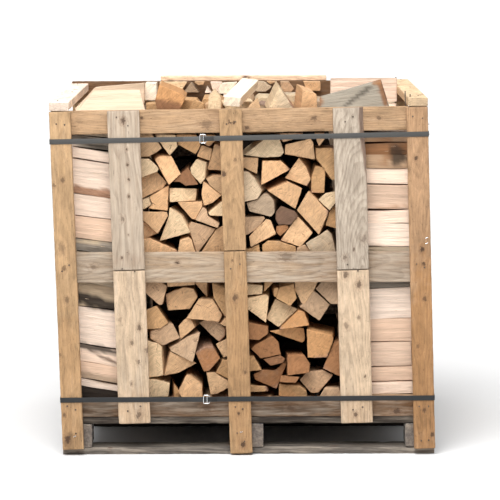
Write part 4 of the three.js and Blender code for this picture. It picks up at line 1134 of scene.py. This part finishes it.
# The boards of the back, the sides and the top; their knots are dealt at random.
OTHER_BOARDS = {
    "post_back_left": (BACK_UPRIGHT, "post_wood", "honey", 0.15),
    "post_back_right": (BACK_UPRIGHT, "post_wood", "centre", 0.15),
    "post_back_centre": (BACK_UPRIGHT, "post_wood", "honey", 0.10),
    "slat_back_left": (BACK_UPRIGHT, "slat_wood", "blond", 0.30),
    "slat_back_right": (BACK_UPRIGHT, "slat_wood", "beige", 0.60),
    # Painted shade: the top back rail gets the dark umber tone, as the shade below the plank.
    "rail_back_top": (BACK_RAIL, "rail_wood", "umber", 0.15),
    "rail_back_middle": (BACK_RAIL, "rail_wood", "drab", 0.45),
    "rail_back_bottom": (BACK_RAIL, "rail_wood", "umber", 0.35),
    "plank_back_top": (FLAT_ALONG_X, "rail_wood", "sunlit", 0.05),
    "cap_left": (FLAT_ALONG_Y, "post_wood", "pale", 0.10),
    "cap_right": (FLAT_ALONG_Y, "post_wood", "cream", 0.15),
    "rail_left_middle": (SIDE_RAIL, "rail_wood", "drab", 0.40),
    "rail_left_bottom": (SIDE_RAIL, "rail_wood", "umber", 0.35),
    "rail_right_middle": (SIDE_RAIL, "rail_wood", "drab", 0.40),
    "rail_right_bottom": (SIDE_RAIL, "rail_wood", "umber", 0.35),
    "slat_left": (SIDE_SLAT, "slat_wood", "beige", 0.45),
    "slat_right": (SIDE_SLAT, "slat_wood", "blond", 0.30),
}


def section(width, thickness, spacing, edge):
    """Corners round a board's cross-section, with its four edges taken off."""
    corners = [(-1, -1), (1, -1), (1, 1), (-1, 1)]
    points = []
    for (a0, b0), (a1, b1) in zip(corners, corners[1:] + corners[:1]):
        start = Vector((a0 * width / 2, b0 * thickness / 2))
        end = Vector((a1 * width / 2, b1 * thickness / 2))
        run = (end - start).length
        steps = max(2, round((run - 2 * edge) / spacing))
        for k in range(steps + 1):
            points.append(start.lerp(end, (edge + (run - 2 * edge) * k / steps) / run))
    return points


# A knot is longer along the board than across, and marks the wood up to so many radii away.
KNOT_STRETCH = 1.35
KNOT_REACH = 4.5


def nearest_knot(knots, across, along):
    """Where a point lies from its nearest knot, in radii, and how dark that knot is. Half-way between two
    knots there is none, so that no false knot shows where the nearest one changes."""
    offsets = [((across - knot_across) / radius, (along - knot_along) / (radius * KNOT_STRETCH), strength)
               for knot_across, knot_along, radius, strength in knots]
    offsets.sort(key=lambda offset: math.hypot(offset[0], offset[1]))
    reaches = [math.hypot(offset[0], offset[1]) for offset in offsets[:2]]
    if not reaches or reaches[0] > KNOT_REACH:
        return FAR_AWAY
    between = len(reaches) > 1 and reaches[0] > 1.4 and reaches[1] < 1.8 * reaches[0]
    return FAR_AWAY if between else offsets[0]


# A board's edges are taken off this far, and its ends are worn over this length.
EDGE_OFF = 0.0018
END_WEAR = 0.002
# Slopes of the pith through a board that has no listed arch.
PITH_SLOPES = (-0.05, 0.02, 0.06, 0.10)


def add_board(shape, box, chance, tone, age, knots, spacing=0.010, wear=0.0022, wane=None, stains_and_shade=(),
              arch=None):
    """A rough-sawn board in a box of centre, directions and sizes: worn edges, slight bow, ragged ends.
    Wane gives the width of bark left along one front edge, from the share of the length done. Arch is where
    along the board its arched figure centres, and how steeply the pith runs through."""
    centre, (along, wide, out), (length, width, thickness) = box
    outline = section(width, thickness, spacing, EDGE_OFF)
    if along.dot(wide.cross(out)) < 0:
        outline.reverse()
    seed = chance.uniform(0, 90)
    heart = Vector((chance.uniform(-0.3, 0.3) * width, -chance.uniform(0.02, 0.07)))
    arch_along, arch_slope = arch or (chance.uniform(-0.6, 0.6) * length, chance.choice(PITH_SLOPES))
    colour = TONES[tone]
    count = max(3, round(length / spacing))
    stops = [-0.5, -0.5 + END_WEAR / length]
    stops += [k / count - 0.5 for k in range(1, count)]
    stops += [0.5 - END_WEAR / length, 0.5]

    def corner(a, b, s, end, bark):
        place = centre + wide * a + out * b + along * s
        grain = (a - heart.x, b - heart.y + arch_slope * (s - arch_along), s + seed)
        knot = nearest_knot(knots, a, s)
        return shape.corner(place, grain, stained_and_shaded(colour, place, stains_and_shade), (end, bark, age), knot, along)

    rings = []
    sections = []
    for stop in stops:
        at_end = abs(stop) == 0.5
        s = stop * length
        sway = 0.0012 * noise.noise(Vector((s * 3, seed, 0)))
        bow = -0.0006 * (1 + noise.noise(Vector((s * 2, 0, seed))))
        ring = []
        places = []
        for point in outline:
            a, b = point
            on_edge = abs(a) > width / 2 - 0.003 and abs(b) > thickness / 2 - 0.003
            chip = noise.noise(Vector((s * 22, seed + 3 * (a > 0), 5 * (b > 0))))
            nick = noise.noise(Vector((s * 75, seed + 3 * (a > 0), 5 * (b > 0))))
            pull = wear * (max(0.0, chip) + 0.5 * max(0.0, nick)) if on_edge else 0.0
            pull += 0.0003 * noise.noise(Vector((a * 60, b * 60, s * 12 + seed)))
            pull += 0.0014 if at_end else 0.0
            a -= math.copysign(pull, a) - sway * (1 - abs(2 * a / width)) * 0.5
            b -= math.copysign(pull, b) - bow * (b > 0)
            bark = 0.0
            if wane:
                cut = wane(stop) * (1 + 0.25 * noise.noise(Vector((s * 14, seed, 1))))
                beyond = a + b * 0.6 - (width / 2 + thickness * 0.3 - cut)
                if beyond > 0:
                    a -= beyond * 0.62
                    b -= beyond * 0.62
                    bark = smooth_step(beyond, 0.0, 0.003)
            ragged = 0.0016 * noise.noise(Vector((a * 120, b * 120, seed))) if at_end else 0.0
            ring.append(corner(a, b, s - math.copysign(abs(ragged), s), float(at_end), bark))
            places.append((a, b, s))
        rings.append(ring)
        sections.append(places)
    caps = []
    for places in (sections[0], sections[-1]):
        inner = [corner(a * 0.6, b * 0.6, s, 1.0, 0.0) for a, b, s in places]
        caps.append([inner, [corner(0.0, 0.0, places[0][2], 1.0, 0.0)]])
    shape.skin([caps[0][1], caps[0][0]] + rings + caps[1])


def box_of(node, directions):
    """A board's centre, directions and sizes, from the corners of its CAD node."""
    corners, _ = welded(node)
    centre = Vector()
    sizes = []
    for direction in directions:
        reach = [place.dot(direction) for place in corners]
        centre += direction * (min(reach) + max(reach)) / 2
        sizes.append(max(reach) - min(reach))
    return centre, directions, sizes


def local_knots(box, knots):
    """Knots given by x and z on the front, as distances across and along the board from its centre."""
    centre, (along, wide, _), _ = box
    found = []
    for x, z, radius, strength in knots:
        offset = Vector((x, centre.y, z)) - centre
        found.append((offset.dot(wide), offset.dot(along), radius, strength))
    return found


def dealt_knots(box, chance, per_metre=4.5):
    """Knots dealt at random along a board."""
    _, _, (length, width, _) = box
    knots = []
    for _ in range(round(length * per_metre)):
        across = chance.uniform(-0.4, 0.4) * width
        along = chance.uniform(-0.48, 0.48) * length
        knots.append((across, along, chance.uniform(0.004, 0.010), chance.uniform(0.4, 0.95)))
    return knots


# Boards with a marked arched figure: its centre along the board from the middle, and the slope of the pith.
ARCHES = {"slat_front_right_upper": (-0.130, 0.15), "rail_front_middle": (0.15, 0.06)}


def slat_wane(stop):
    """Width of the bark along the right slat's front edge: wide at the head, gone half-way down."""
    return 0.020 * smooth_step(stop, -0.1, 0.45)


def make_frame_boards():
    """Every post, slat, rail, cap and plank of the frame."""
    chance = random.Random(21)
    for node, (directions, slot, tone, age, knots) in FRONT_BOARDS.items():
        box = box_of(node, directions)
        shape = Shape()
        wane = slat_wane if node == "slat_front_right_upper" else None
        add_board(shape, box, chance, tone, age, local_knots(box, knots), spacing=0.008, wane=wane,
                  stains_and_shade=STAINS_AND_PAINTED_SHADE.get(node, ()), arch=ARCHES.get(node))
        add_piece(f"board_{node}", shape.mesh(f"board_{node}", BOARD_WOOD), slot, [node])
    for node, (directions, slot, tone, age) in OTHER_BOARDS.items():
        box = box_of(node, directions)
        shape = Shape()
        add_board(shape, box, chance, tone, age, dealt_knots(box, chance), spacing=0.012)
        add_piece(f"board_{node}", shape.mesh(f"board_{node}", BOARD_WOOD), slot, [node])


# The pallet

PALLET_ROWS = ("front", "middle", "back")
PALLET_COLUMNS = ("left", "centre", "right")
DECK_BOARD_COUNT = 7
DECK_BOARD_WIDTH = 0.095
DECK_BOARD_THICKNESS = 0.018
DECK_LENGTH = 0.954
DECK_SPAN = 1.021
STRINGER_MIDDLE = 0.111
STRINGER_THICKNESS = 0.022


def make_pallet():
    """The skids, the blocks, and the deck of stringers with boards across them; all but the front skid and
    blocks are painted in the dark gloom tone as shade.
    """
    chance = random.Random(31)
    for row in PALLET_ROWS:
        node = f"skid_{row}"
        box = box_of(node, FLAT_ALONG_X)
        shape = Shape()
        # Painted shade: the middle and back skids get the dark gloom tone, as the shade under the pallet.
        tone, age = ("pallet", 0.35) if row == "front" else ("gloom", 0.1)
        add_board(shape, box, chance, tone, age, dealt_knots(box, chance), spacing=0.012, wear=0.004)
        add_piece(f"board_{node}", shape.mesh(f"board_{node}", PALLET_WOOD), "pallet_wood", [node])
        for column in PALLET_COLUMNS:
            node = f"block_{row}_{column}"
            box = box_of(node, FLAT_ALONG_Y)
            shape = Shape()
            # Painted shade: the middle and back blocks get the gloom tone too.
            tone, age = ("shade", 0.3) if row == "front" else ("gloom", 0.1)
            add_board(shape, box, chance, tone, age, dealt_knots(box, chance, 9), wear=0.004)
            add_piece(f"rough_{node}", shape.mesh(f"rough_{node}", PALLET_WOOD), "pallet_wood", [node])
    low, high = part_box("pallet_deck")
    middle = (low + high) / 2
    deck = Shape()
    for row in PALLET_ROWS:
        skid_low, skid_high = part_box(f"skid_{row}")
        centre = Vector((middle.x, (skid_low.y + skid_high.y) / 2, STRINGER_MIDDLE))
        size = (high.x - low.x, DECK_BOARD_WIDTH, STRINGER_THICKNESS)
        box = (centre, FLAT_ALONG_X, size)
        # Painted shade: the stringers get the gloom tone, as the shade inside the pallet.
        add_board(deck, box, chance, "gloom", 0.2, dealt_knots(box, chance), spacing=0.012, wear=0.003)
    for i in range(DECK_BOARD_COUNT):
        across = DECK_SPAN * (i / (DECK_BOARD_COUNT - 1) - 0.5)
        centre = Vector((middle.x + across, 0, DECK_TOP - DECK_BOARD_THICKNESS / 2))
        box = (centre, FLAT_ALONG_Y, (DECK_LENGTH, DECK_BOARD_WIDTH, DECK_BOARD_THICKNESS))
        # Painted shade: the deck boards get the gloom tone, as the shade inside the pallet.
        add_board(deck, box, chance, "gloom", 0.2, dealt_knots(box, chance), spacing=0.014, wear=0.003)
    add_piece("deck_boards", deck.mesh("deck_boards", PALLET_WOOD), "pallet_wood", ["pallet_deck"])


# Straps and buckles

def band_section(width, thickness):
    """Corners round a flat strap's cross-section, thinner at its woven edges."""
    half = width / 2
    rim = thickness * 0.25
    core = thickness / 2
    return [(-half, -rim), (-half * 0.86, -core), (0.0, -core), (half * 0.86, -core), (half, -rim),
            (half, rim), (half * 0.86, core), (0.0, core), (-half * 0.86, core), (-half, rim)]


# How far a strap cuts the corner of a post.
CORNER_CUT = 0.0006


def strap_path(step):
    """Points round the frame at one level, as (place, outward direction, distance along)."""
    corners = [(-1, -1), (1, -1), (1, 1), (-1, 1)]
    points = []
    run = 0.0
    for (a0, b0), (a1, b1) in zip(corners, corners[1:] + corners[:1]):
        start = Vector((a0 * STRAP_HALF_X, b0 * STRAP_HALF_Y, 0))
        end = Vector((a1 * STRAP_HALF_X, b1 * STRAP_HALF_Y, 0))
        ahead = (end - start).normalized()
        out = ahead.cross(Z_AXIS)
        count = round((end - start).length / step)
        for k in range(1, count):
            points.append((start.lerp(end, k / count), out, run + (end - start).length * k / count))
        run += (end - start).length
        corner_out = (out + out.cross(-Z_AXIS)).normalized()
        points.append((end - (ahead + out) * CORNER_CUT, corner_out, run))
    return points


def add_band(shape, stations, width, thickness, colour, closed):
    """A flat strap through stations of (place, outward, up, distance along)."""
    outline = band_section(width, thickness)
    rings = []
    for place, out, up, run in stations:
        ring = []
        for a, b in outline:
            grain = (a, b, run)
            ring.append(shape.corner(place + up * a + out * b, grain, colour, (0, 0, 0)))
        rings.append(ring)
    if closed:
        shape.skin(rings + rings[:1])
        return
    ends = []
    for ring, station in ((rings[0], stations[0]), (rings[-1], stations[-1])):
        ends.append([shape.corner(station[0], (0, 0, station[3]), colour, (0, 0, 0))])
    shape.skin([ends[0]] + rings + [ends[1]])


# Each strap: level at the middle, tilt, x of its buckle, and colour.
STRAPS = {
    "upper": (1.025, math.radians(1.05), -0.128, from_screen(63, 62, 60)),
    "lower": (0.185, math.radians(0.2), -0.121, from_screen(29, 30, 31)),
}
STRAP_STEP = 0.012
# The loose tail and the short end at a buckle: side, length, how pale, how far it lifts, and how soon it
# lies flat again.
STRAP_ENDS = ((-1, 0.062, 1.5, 0.0032, 1.15), (1, 0.034, 0.42, 0.0040, 1.0))
BEND_STEPS = 12


def make_straps():
    """Both straps round the frame, each with its loose ends and its buckle."""
    chance = random.Random(41)
    for level, (z, tilt, buckle_x, colour) in STRAPS.items():
        turn = Matrix.Translation((rack_at(z), 0, z)) @ Matrix.Rotation(-tilt, 4, "Y")
        up = (turn.to_3x3() @ Z_AXIS).normalized()
        seed = chance.uniform(0, 90)
        stations = []
        for place, out, run in strap_path(STRAP_STEP):
            slip = 0.0007 * noise.noise(Vector((run * 5, seed, 0)))
            stations.append((turn @ place + up * slip, turn.to_3x3() @ out, up, run))
        shape = Shape()
        add_band(shape, stations, STRAP_WIDTH, STRAP_THICKNESS, colour, True)
        mesh = shape.mesh(f"webbing_strap_{level}", STRAP_WEBBING)
        add_piece(f"webbing_strap_{level}", mesh, "strap", [f"strap_{level}"])

        buckle_z = z + (buckle_x - rack_at(z)) * math.tan(tilt)
        tail = Shape()
        ahead = (turn.to_3x3() @ X_AXIS).normalized()
        start = Vector((buckle_x, -STRAP_HALF_Y - STRAP_THICKNESS * 1.2, buckle_z))
        for sign, reach, pale, height, sooner in STRAP_ENDS:
            bend = []
            for k in range(BEND_STEPS + 1):
                t = k / BEND_STEPS
                lift = height * math.sin(min(1.0, t * sooner) * math.pi)
                place = start + ahead * (sign * reach * t) - Y_AXIS * lift
                bend.append((place, -Y_AXIS, up * -sign, t * reach))
            add_band(tail, bend, STRAP_WIDTH * 0.94, STRAP_THICKNESS, tuple(c * pale for c in colour), False)
        mesh = tail.mesh(f"webbing_tail_{level}", STRAP_WEBBING)
        add_piece(f"webbing_tail_{level}", mesh, "strap")
        make_buckle(level)


def add_tube(shape, path, radius, closed, sides=10):
    """A round wire along a path."""
    rings = []
    count = len(path)
    for i, place in enumerate(path):
        before = path[i - 1] if closed or i else place
        after = path[(i + 1) % count] if closed or i < count - 1 else place
        ahead = (after - before).normalized()
        across = ahead.cross(Y_AXIS)
        across = across.normalized() if across.length > 1e-4 else X_AXIS.copy()
        other = ahead.cross(across)
        ring = []
        for k in range(sides):
            turn = 2 * math.pi * k / sides
            offset = (across * math.cos(turn) + other * math.sin(turn)) * radius
            ring.append(shape.corner(place + offset, (0, 0, 0), (1, 1, 1), (0, 0, 0)))
        rings.append(ring)
    if closed:
        shape.skin(rings + rings[:1])
        return
    ends = [[shape.corner(path[k], (0, 0, 0), (1, 1, 1), (0, 0, 0))] for k in (0, -1)]
    shape.skin([ends[0]] + rings + [ends[1]])


BUCKLE_STEPS = 48


def make_buckle(level):
    """A wire buckle: a rounded loop that narrows at the waist, with a bar across for the strap."""
    low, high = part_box(f"buckle_{level}")
    centre = (low + high) / 2
    radius = (high.y - low.y) * 0.42
    half_x = (high.x - low.x) / 2 - radius
    half_z = (high.z - low.z) / 2 - radius
    path = []
    for k in range(BUCKLE_STEPS):
        turn = 2 * math.pi * k / BUCKLE_STEPS
        across = math.cos(turn)
        upward = math.sin(turn)
        x = math.copysign(abs(across) ** 0.5, across) * half_x
        z = math.copysign(abs(upward) ** 0.5, upward) * half_z
        path.append(centre + Vector((x * (1 - 0.08 * math.cos(2 * turn)), 0, z)))
    shape = Shape()
    add_tube(shape, path, radius, True)
    bar = [centre + Vector((0.002, 0.0004, half_z * (k / 6 - 1))) for k in range(13)]
    add_tube(shape, bar, radius * 0.8, False)
    mesh = shape.mesh(f"wire_buckle_{level}", BUCKLE_STEEL)
    add_piece(f"wire_buckle_{level}", mesh, "buckle", [f"buckle_{level}"])


# Nails and splinters, scattered by geometry nodes

def geometry_tree(name, inputs):
    """A geometry node tree with named inputs, and the identifiers to set them by."""
    tree = bpy.data.node_groups.new(name, "GeometryNodeTree")
    tree.interface.new_socket("Geometry", in_out="INPUT", socket_type="NodeSocketGeometry")
    identifiers = {}
    for socket, kind in inputs.items():
        made = tree.interface.new_socket(socket, in_out="INPUT", socket_type=kind)
        identifiers[socket] = made.identifier
    tree.interface.new_socket("Geometry", in_out="OUTPUT", socket_type="NodeSocketGeometry")
    nodes = Nodes(tree)
    entry = nodes.add("NodeGroupInput")
    return tree, nodes, entry.outputs, identifiers


def finish_scatter(nodes, points, instance, rotation, scale, material):
    """Instances on points, made real and given their material."""
    inputs = {"Points": points, "Instance": instance, "Rotation": rotation, "Scale": scale}
    placed = nodes.add("GeometryNodeInstanceOnPoints", inputs).outputs[0]
    real = nodes.add("GeometryNodeRealizeInstances", {0: placed}).outputs[0]
    dressed = nodes.add("GeometryNodeSetMaterial", {"Geometry": real})
    dressed.inputs["Material"].default_value = material
    nodes.add("NodeGroupOutput", {0: dressed.outputs[0]})


def facing_rotation(nodes, attribute):
    """A rotation that turns Z to the direction kept in an attribute."""
    named = nodes.add("GeometryNodeInputNamedAttribute", {"Name": attribute}, data_type="FLOAT_VECTOR")
    turned = nodes.add("FunctionNodeAlignRotationToVector", {"Vector": named.outputs[0]}, axis="Z")
    return turned.outputs[0]


def random_scale(nodes, low, high, seed):
    """A random scale for each instance between two sizes."""
    inputs = {0: low, 1: high, "Seed": seed}
    return nodes.add("FunctionNodeRandomValue", inputs, data_type="FLOAT_VECTOR").outputs[0]


def nail_tree():
    """A low cone for a nail head on each point, facing the way that the point keeps."""
    inputs = {"Head radius": "NodeSocketFloat", "Head height": "NodeSocketFloat", "Seed": "NodeSocketInt"}
    tree, nodes, given, identifiers = geometry_tree("Nail heads", inputs)
    points = nodes.add("GeometryNodeMeshToPoints", {"Mesh": given["Geometry"]}).outputs[0]
    shoulder = nodes.math("MULTIPLY", given["Head radius"], 0.72)
    head = nodes.add("GeometryNodeMeshCone", {
        "Vertices": 10, "Radius Top": shoulder, "Radius Bottom": given["Head radius"],
        "Depth": given["Head height"],
    }).outputs[0]
    scale = random_scale(nodes, (0.8, 0.8, 0.7), (1.15, 1.15, 1.2), given["Seed"])
    finish_scatter(nodes, points, head, facing_rotation(nodes, "run"), scale, NAIL_STEEL)
    return tree, identifiers


def splinter_tree():
    """Thin slivers strewn over a surface, lying along the grain with one end lifted."""
    inputs = {"Length": "NodeSocketFloat", "Width": "NodeSocketFloat", "Density": "NodeSocketFloat",
              "Seed": "NodeSocketInt"}
    tree, nodes, given, identifiers = geometry_tree("Torn splinters", inputs)
    spread = nodes.add("GeometryNodeDistributePointsOnFaces", {
        "Mesh": given["Geometry"], "Density": given["Density"], "Seed": given["Seed"],
    })
    sliver = nodes.add("GeometryNodeMeshCone", {
        "Vertices": 4, "Radius Top": 0.0001, "Radius Bottom": given["Width"], "Depth": given["Length"],
    }).outputs[0]
    along = nodes.add("GeometryNodeInputNamedAttribute", {"Name": "run"}, data_type="FLOAT_VECTOR").outputs[0]
    lift = nodes.add("ShaderNodeVectorMath", {0: spread.outputs["Normal"], "Scale": 0.10}, operation="SCALE")
    sway = nodes.vector("ADD", along, lift.outputs[0])
    turned = nodes.add("FunctionNodeAlignRotationToVector", {"Vector": sway}, axis="Z").outputs[0]
    scale = random_scale(nodes, (0.5, 0.5, 0.35), (1.2, 1.2, 1.3), given["Seed"])
    finish_scatter(nodes, spread.outputs["Points"], sliver, turned, scale, SPLINTER_WOOD)
    return tree, identifiers


def scattered(name, mesh, tree, settings):
    """The plain mesh that a geometry node tree makes from a base mesh."""
    base = bpy.data.objects.new(f"{name}_base", mesh)
    bpy.context.scene.collection.objects.link(base)
    modifier = base.modifiers.new("Scatter", "NODES")
    modifier.node_group = tree[0]
    for socket, value in settings.items():
        modifier[tree[1][socket]] = value
    graph = bpy.context.evaluated_depsgraph_get()
    made = bpy.data.meshes.new_from_object(base.evaluated_get(graph))
    made.name = name
    base.modifiers.remove(modifier)
    bpy.data.objects.remove(base)
    return made


# Nails at the front (-1) and the back (1): the uprights' middles in x with how far to each side nails may be,
# and the levels of the boards behind them.
ON_POST = 0.018
ON_SLAT = 0.026
UPRIGHTS = {
    -1: [(-0.566, ON_POST), (-0.365, ON_SLAT), (-0.025, ON_POST), (0.350, ON_SLAT), (0.566, ON_POST)],
    1: [(-0.566, ON_POST), (-0.365, ON_SLAT), (0.025, ON_POST), (0.365, ON_SLAT), (0.566, ON_POST)],
}
NAILED_LEVELS = {-1: (1.078, 0.608, 0.150, 0.060), 1: (1.108, 0.608, 0.150, 0.060)}
SLAT_FOOT = 0.1

# Nails in the right post's outer face, down through the caps, and through the side slats into their rails.
POST_SIDE_FACE = 0.602
POST_SIDE_Y = -0.512
POST_SIDE_LEVELS = (1.034, 1.066)
CAP_MIDDLE = 0.569
CAP_LEVEL = 1.12
CAP_NAIL_PLACES = (-0.45, 0.0, 0.42)
SLAT_FACE = 0.5995
SLAT_NAIL_PLACES = (-0.03, 0.03)
SLAT_NAIL_LEVELS = (0.150, 0.585, 0.630)

# Nails left standing by the right cap: x, y, height of the foot and the head, and the lean of the head.
LOOSE_NAILS = [
    (0.516, -0.489, 1.110, 1.170, -0.002), (0.528, -0.489, 1.110, 1.160, 0.002),
    (0.521, 0.140, 1.120, 1.178, 0.0),
]
NAIL_SHAFT = 0.0016

# Bright staples in the posts, by x and z.
STAPLES = [(0.583, 0.703), (0.582, 0.685), (-0.010, 0.075), (-0.545, 0.063)]
STAPLE_WIDTH = 0.008
STAPLE_WIRE = 0.0011
STAPLE_SLANT = 0.003
STAPLE_PROUD = 0.0004
WIRE_STEPS = 4


def make_nails():
    """Nail heads in the boards, loose nails and staples."""
    chance = random.Random(51)
    points = Shape()

    def nail(place, facing):
        points.corner(place, (0, 0, 0), (1, 1, 1), (0, 0, 0), run=facing)

    for face, uprights in UPRIGHTS.items():
        for x, half in uprights:
            for z in NAILED_LEVELS[face]:
                if z < SLAT_FOOT and half == ON_SLAT:
                    continue
                for side in (-1, 1):
                    height = z + chance.uniform(-0.014, 0.014)
                    across = x + rack_at(height) + side * half * chance.uniform(0.4, 0.9)
                    nail(Vector((across, face * abs(FRONT_FACE), height)), Y_AXIS * face)
    for z in POST_SIDE_LEVELS:
        nail(Vector((POST_SIDE_FACE + rack_at(z), POST_SIDE_Y, z)), X_AXIS)
    for side, sign in (("left", -1), ("right", 1)):
        cap_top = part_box(f"cap_{side}")[1].z
        for y in CAP_NAIL_PLACES:
            across = sign * CAP_MIDDLE + rack_at(CAP_LEVEL) + chance.uniform(-0.01, 0.01)
            nail(Vector((across, y, cap_top)), Z_AXIS)
        for y in SLAT_NAIL_PLACES:
            for z in SLAT_NAIL_LEVELS:
                nail(Vector((sign * SLAT_FACE + rack_at(z), y, z)), X_AXIS * sign)
    shares = [k / WIRE_STEPS for k in range(WIRE_STEPS + 1)]
    shafts = Shape()
    for x, y, foot, head, lean in LOOSE_NAILS:
        path = [Vector((x + lean * t, y, foot + (head - foot) * t)) for t in shares]
        add_tube(shafts, path, NAIL_SHAFT, False, sides=8)
    add_piece("loose_nails", shafts.mesh("loose_nails", NAIL_STEEL), "buckle")
    staples = Shape()
    for x, z in STAPLES:
        y = FRONT_FACE - STAPLE_PROUD
        path = [Vector((x + STAPLE_WIDTH * (t - 0.5), y, z + STAPLE_SLANT * t)) for t in shares]
        add_tube(staples, path, STAPLE_WIRE, False, sides=8)
    add_piece("staples", staples.mesh("staples", BUCKLE_STEEL), "buckle")
    mesh = points.mesh("nail_places", NAIL_STEEL)
    settings = {"Head radius": NAIL_HEAD, "Head height": NAIL_HEAD_HEIGHT, "Seed": 7}
    heads = scattered("nail_heads", mesh, nail_tree(), settings)
    add_piece("nail_heads", heads, "buckle")


SPLINTERS = {"Length": 0.022, "Width": 0.0007, "Density": 160.0, "Seed": 9}


def make_splinters():
    """Splinters on the split faces of the two side stacks."""
    tree = splinter_tree()
    for name in ("split_logs_left", "split_logs_right"):
        made = scattered(f"splinters_{name}", bpy.data.meshes[name].copy(), tree, SPLINTERS)
        add_piece(f"splinters_{name}", made, "log_wood")


# Stage

FLOOR_HALF = 150.0
ROOM_AT_EYE_LEVEL = 0.06
ROOM_OVERHEAD = 1.05
KEY_LIGHT = 3.3
KEY_SOFTNESS = 45.0
KEY_FROM = Vector((-0.16, -0.44, 0.88))
SOFTBOX_POWER = 22.0
SOFTBOX_SIZE = 1.4
SOFTBOX_PLACE = Vector((-0.1, -1.9, 2.0))
SOFTBOX_AIM = Vector((0.0, -0.5, 1.0))


def make_floor():
    """A plain pale floor that reaches out of sight."""
    corners = [(x * FLOOR_HALF, y * FLOOR_HALF, 0) for x, y in ((-1, -1), (1, -1), (1, 1), (-1, 1))]
    mesh = bpy.data.meshes.new("floor")
    mesh.from_pydata(corners, [], [(0, 1, 2, 3)])
    material, _, shader = new_material("Pale floor")
    shader.inputs["Base Color"].default_value = FLOOR_GREY
    shader.inputs["Roughness"].default_value = 0.9
    shader.inputs["Specular IOR Level"].default_value = 0.0
    mesh.materials.append(material)
    floor = bpy.data.objects.new("floor", mesh)
    bpy.context.scene.collection.objects.link(floor)


def make_room_light():
    """A white room, dim at eye level and bright overhead."""
    world = bpy.data.worlds.new("Soft room")
    world.use_nodes = True
    nodes = Nodes(world.node_tree)
    direction = nodes.add("ShaderNodeTexCoord").outputs["Generated"]
    height = nodes.add("ShaderNodeSeparateXYZ", {0: direction}).outputs["Z"]
    inputs = {"Value": height, "To Min": ROOM_AT_EYE_LEVEL, "To Max": ROOM_OVERHEAD}
    strength = nodes.add("ShaderNodeMapRange", inputs).outputs["Result"]
    background = world.node_tree.nodes["Background"]
    nodes.feed(strength, background.inputs["Strength"])
    background.inputs["Color"].default_value = (1.0, 1.0, 1.0, 1.0)
    bpy.context.scene.world = world


def add_lamp(name, kind, energy, direction):
    """A lamp that shines in a direction."""
    data = bpy.data.lights.new(name, kind)
    data.energy = energy
    lamp = bpy.data.objects.new(name, data)
    lamp.rotation_euler = direction.to_track_quat("-Z", "Y").to_euler()
    bpy.context.scene.collection.objects.link(lamp)
    return lamp


def make_lamps():
    """A broad soft key from above, and a softbox over the front edge of the top."""
    key = add_lamp("broad_key", "SUN", KEY_LIGHT, -KEY_FROM)
    key.data.angle = math.radians(KEY_SOFTNESS)
    softbox = add_lamp("top_softbox", "AREA", SOFTBOX_POWER, SOFTBOX_AIM - SOFTBOX_PLACE)
    softbox.data.size = SOFTBOX_SIZE
    softbox.location = SOFTBOX_PLACE


# The camera, as fitted to the corners of the frame.
CAMERA_PLACE = Vector((0.0265, -8.401, 1.674))
CAMERA_YAW = math.radians(0.046)
CAMERA_PITCH = math.radians(7.285)
CAMERA_ROLL = math.radians(-0.179)
CAMERA_SENSOR = 36.0
FOCAL_PIXELS = 2492.8
PICTURE_PIXELS = 500
CAMERA_LENS = FOCAL_PIXELS / PICTURE_PIXELS * CAMERA_SENSOR
CAMERA_SIGHT = 500.0


def make_camera():
    """The camera at the photo's angle: turned, tipped down and rolled."""
    right = Vector((math.cos(CAMERA_YAW), math.sin(CAMERA_YAW), 0))
    level = Vector((-math.sin(CAMERA_YAW), math.cos(CAMERA_YAW), 0))
    ahead = level * math.cos(CAMERA_PITCH) - Z_AXIS * math.sin(CAMERA_PITCH)
    down = ahead.cross(right)
    rolled_right = right * math.cos(CAMERA_ROLL) - down * math.sin(CAMERA_ROLL)
    rolled_down = right * math.sin(CAMERA_ROLL) + down * math.cos(CAMERA_ROLL)
    turn = Matrix((rolled_right, -rolled_down, -ahead)).transposed()
    data = bpy.data.cameras.new("photo_camera")
    data.sensor_width = CAMERA_SENSOR
    data.lens = CAMERA_LENS
    data.clip_end = CAMERA_SIGHT
    camera = bpy.data.objects.new("photo_camera", data)
    camera.matrix_world = Matrix.Translation(CAMERA_PLACE) @ turn.to_4x4()
    bpy.context.scene.collection.objects.link(camera)
    bpy.context.scene.camera = camera


make_front_logs()
make_side_logs()
make_back_and_inner_logs()
make_top_logs()
make_frame_boards()
make_pallet()
make_straps()
make_nails()
make_splinters()
make_floor()
make_room_light()
make_lamps()
make_camera()
bpy.context.scene.view_settings.view_transform = "Standard"
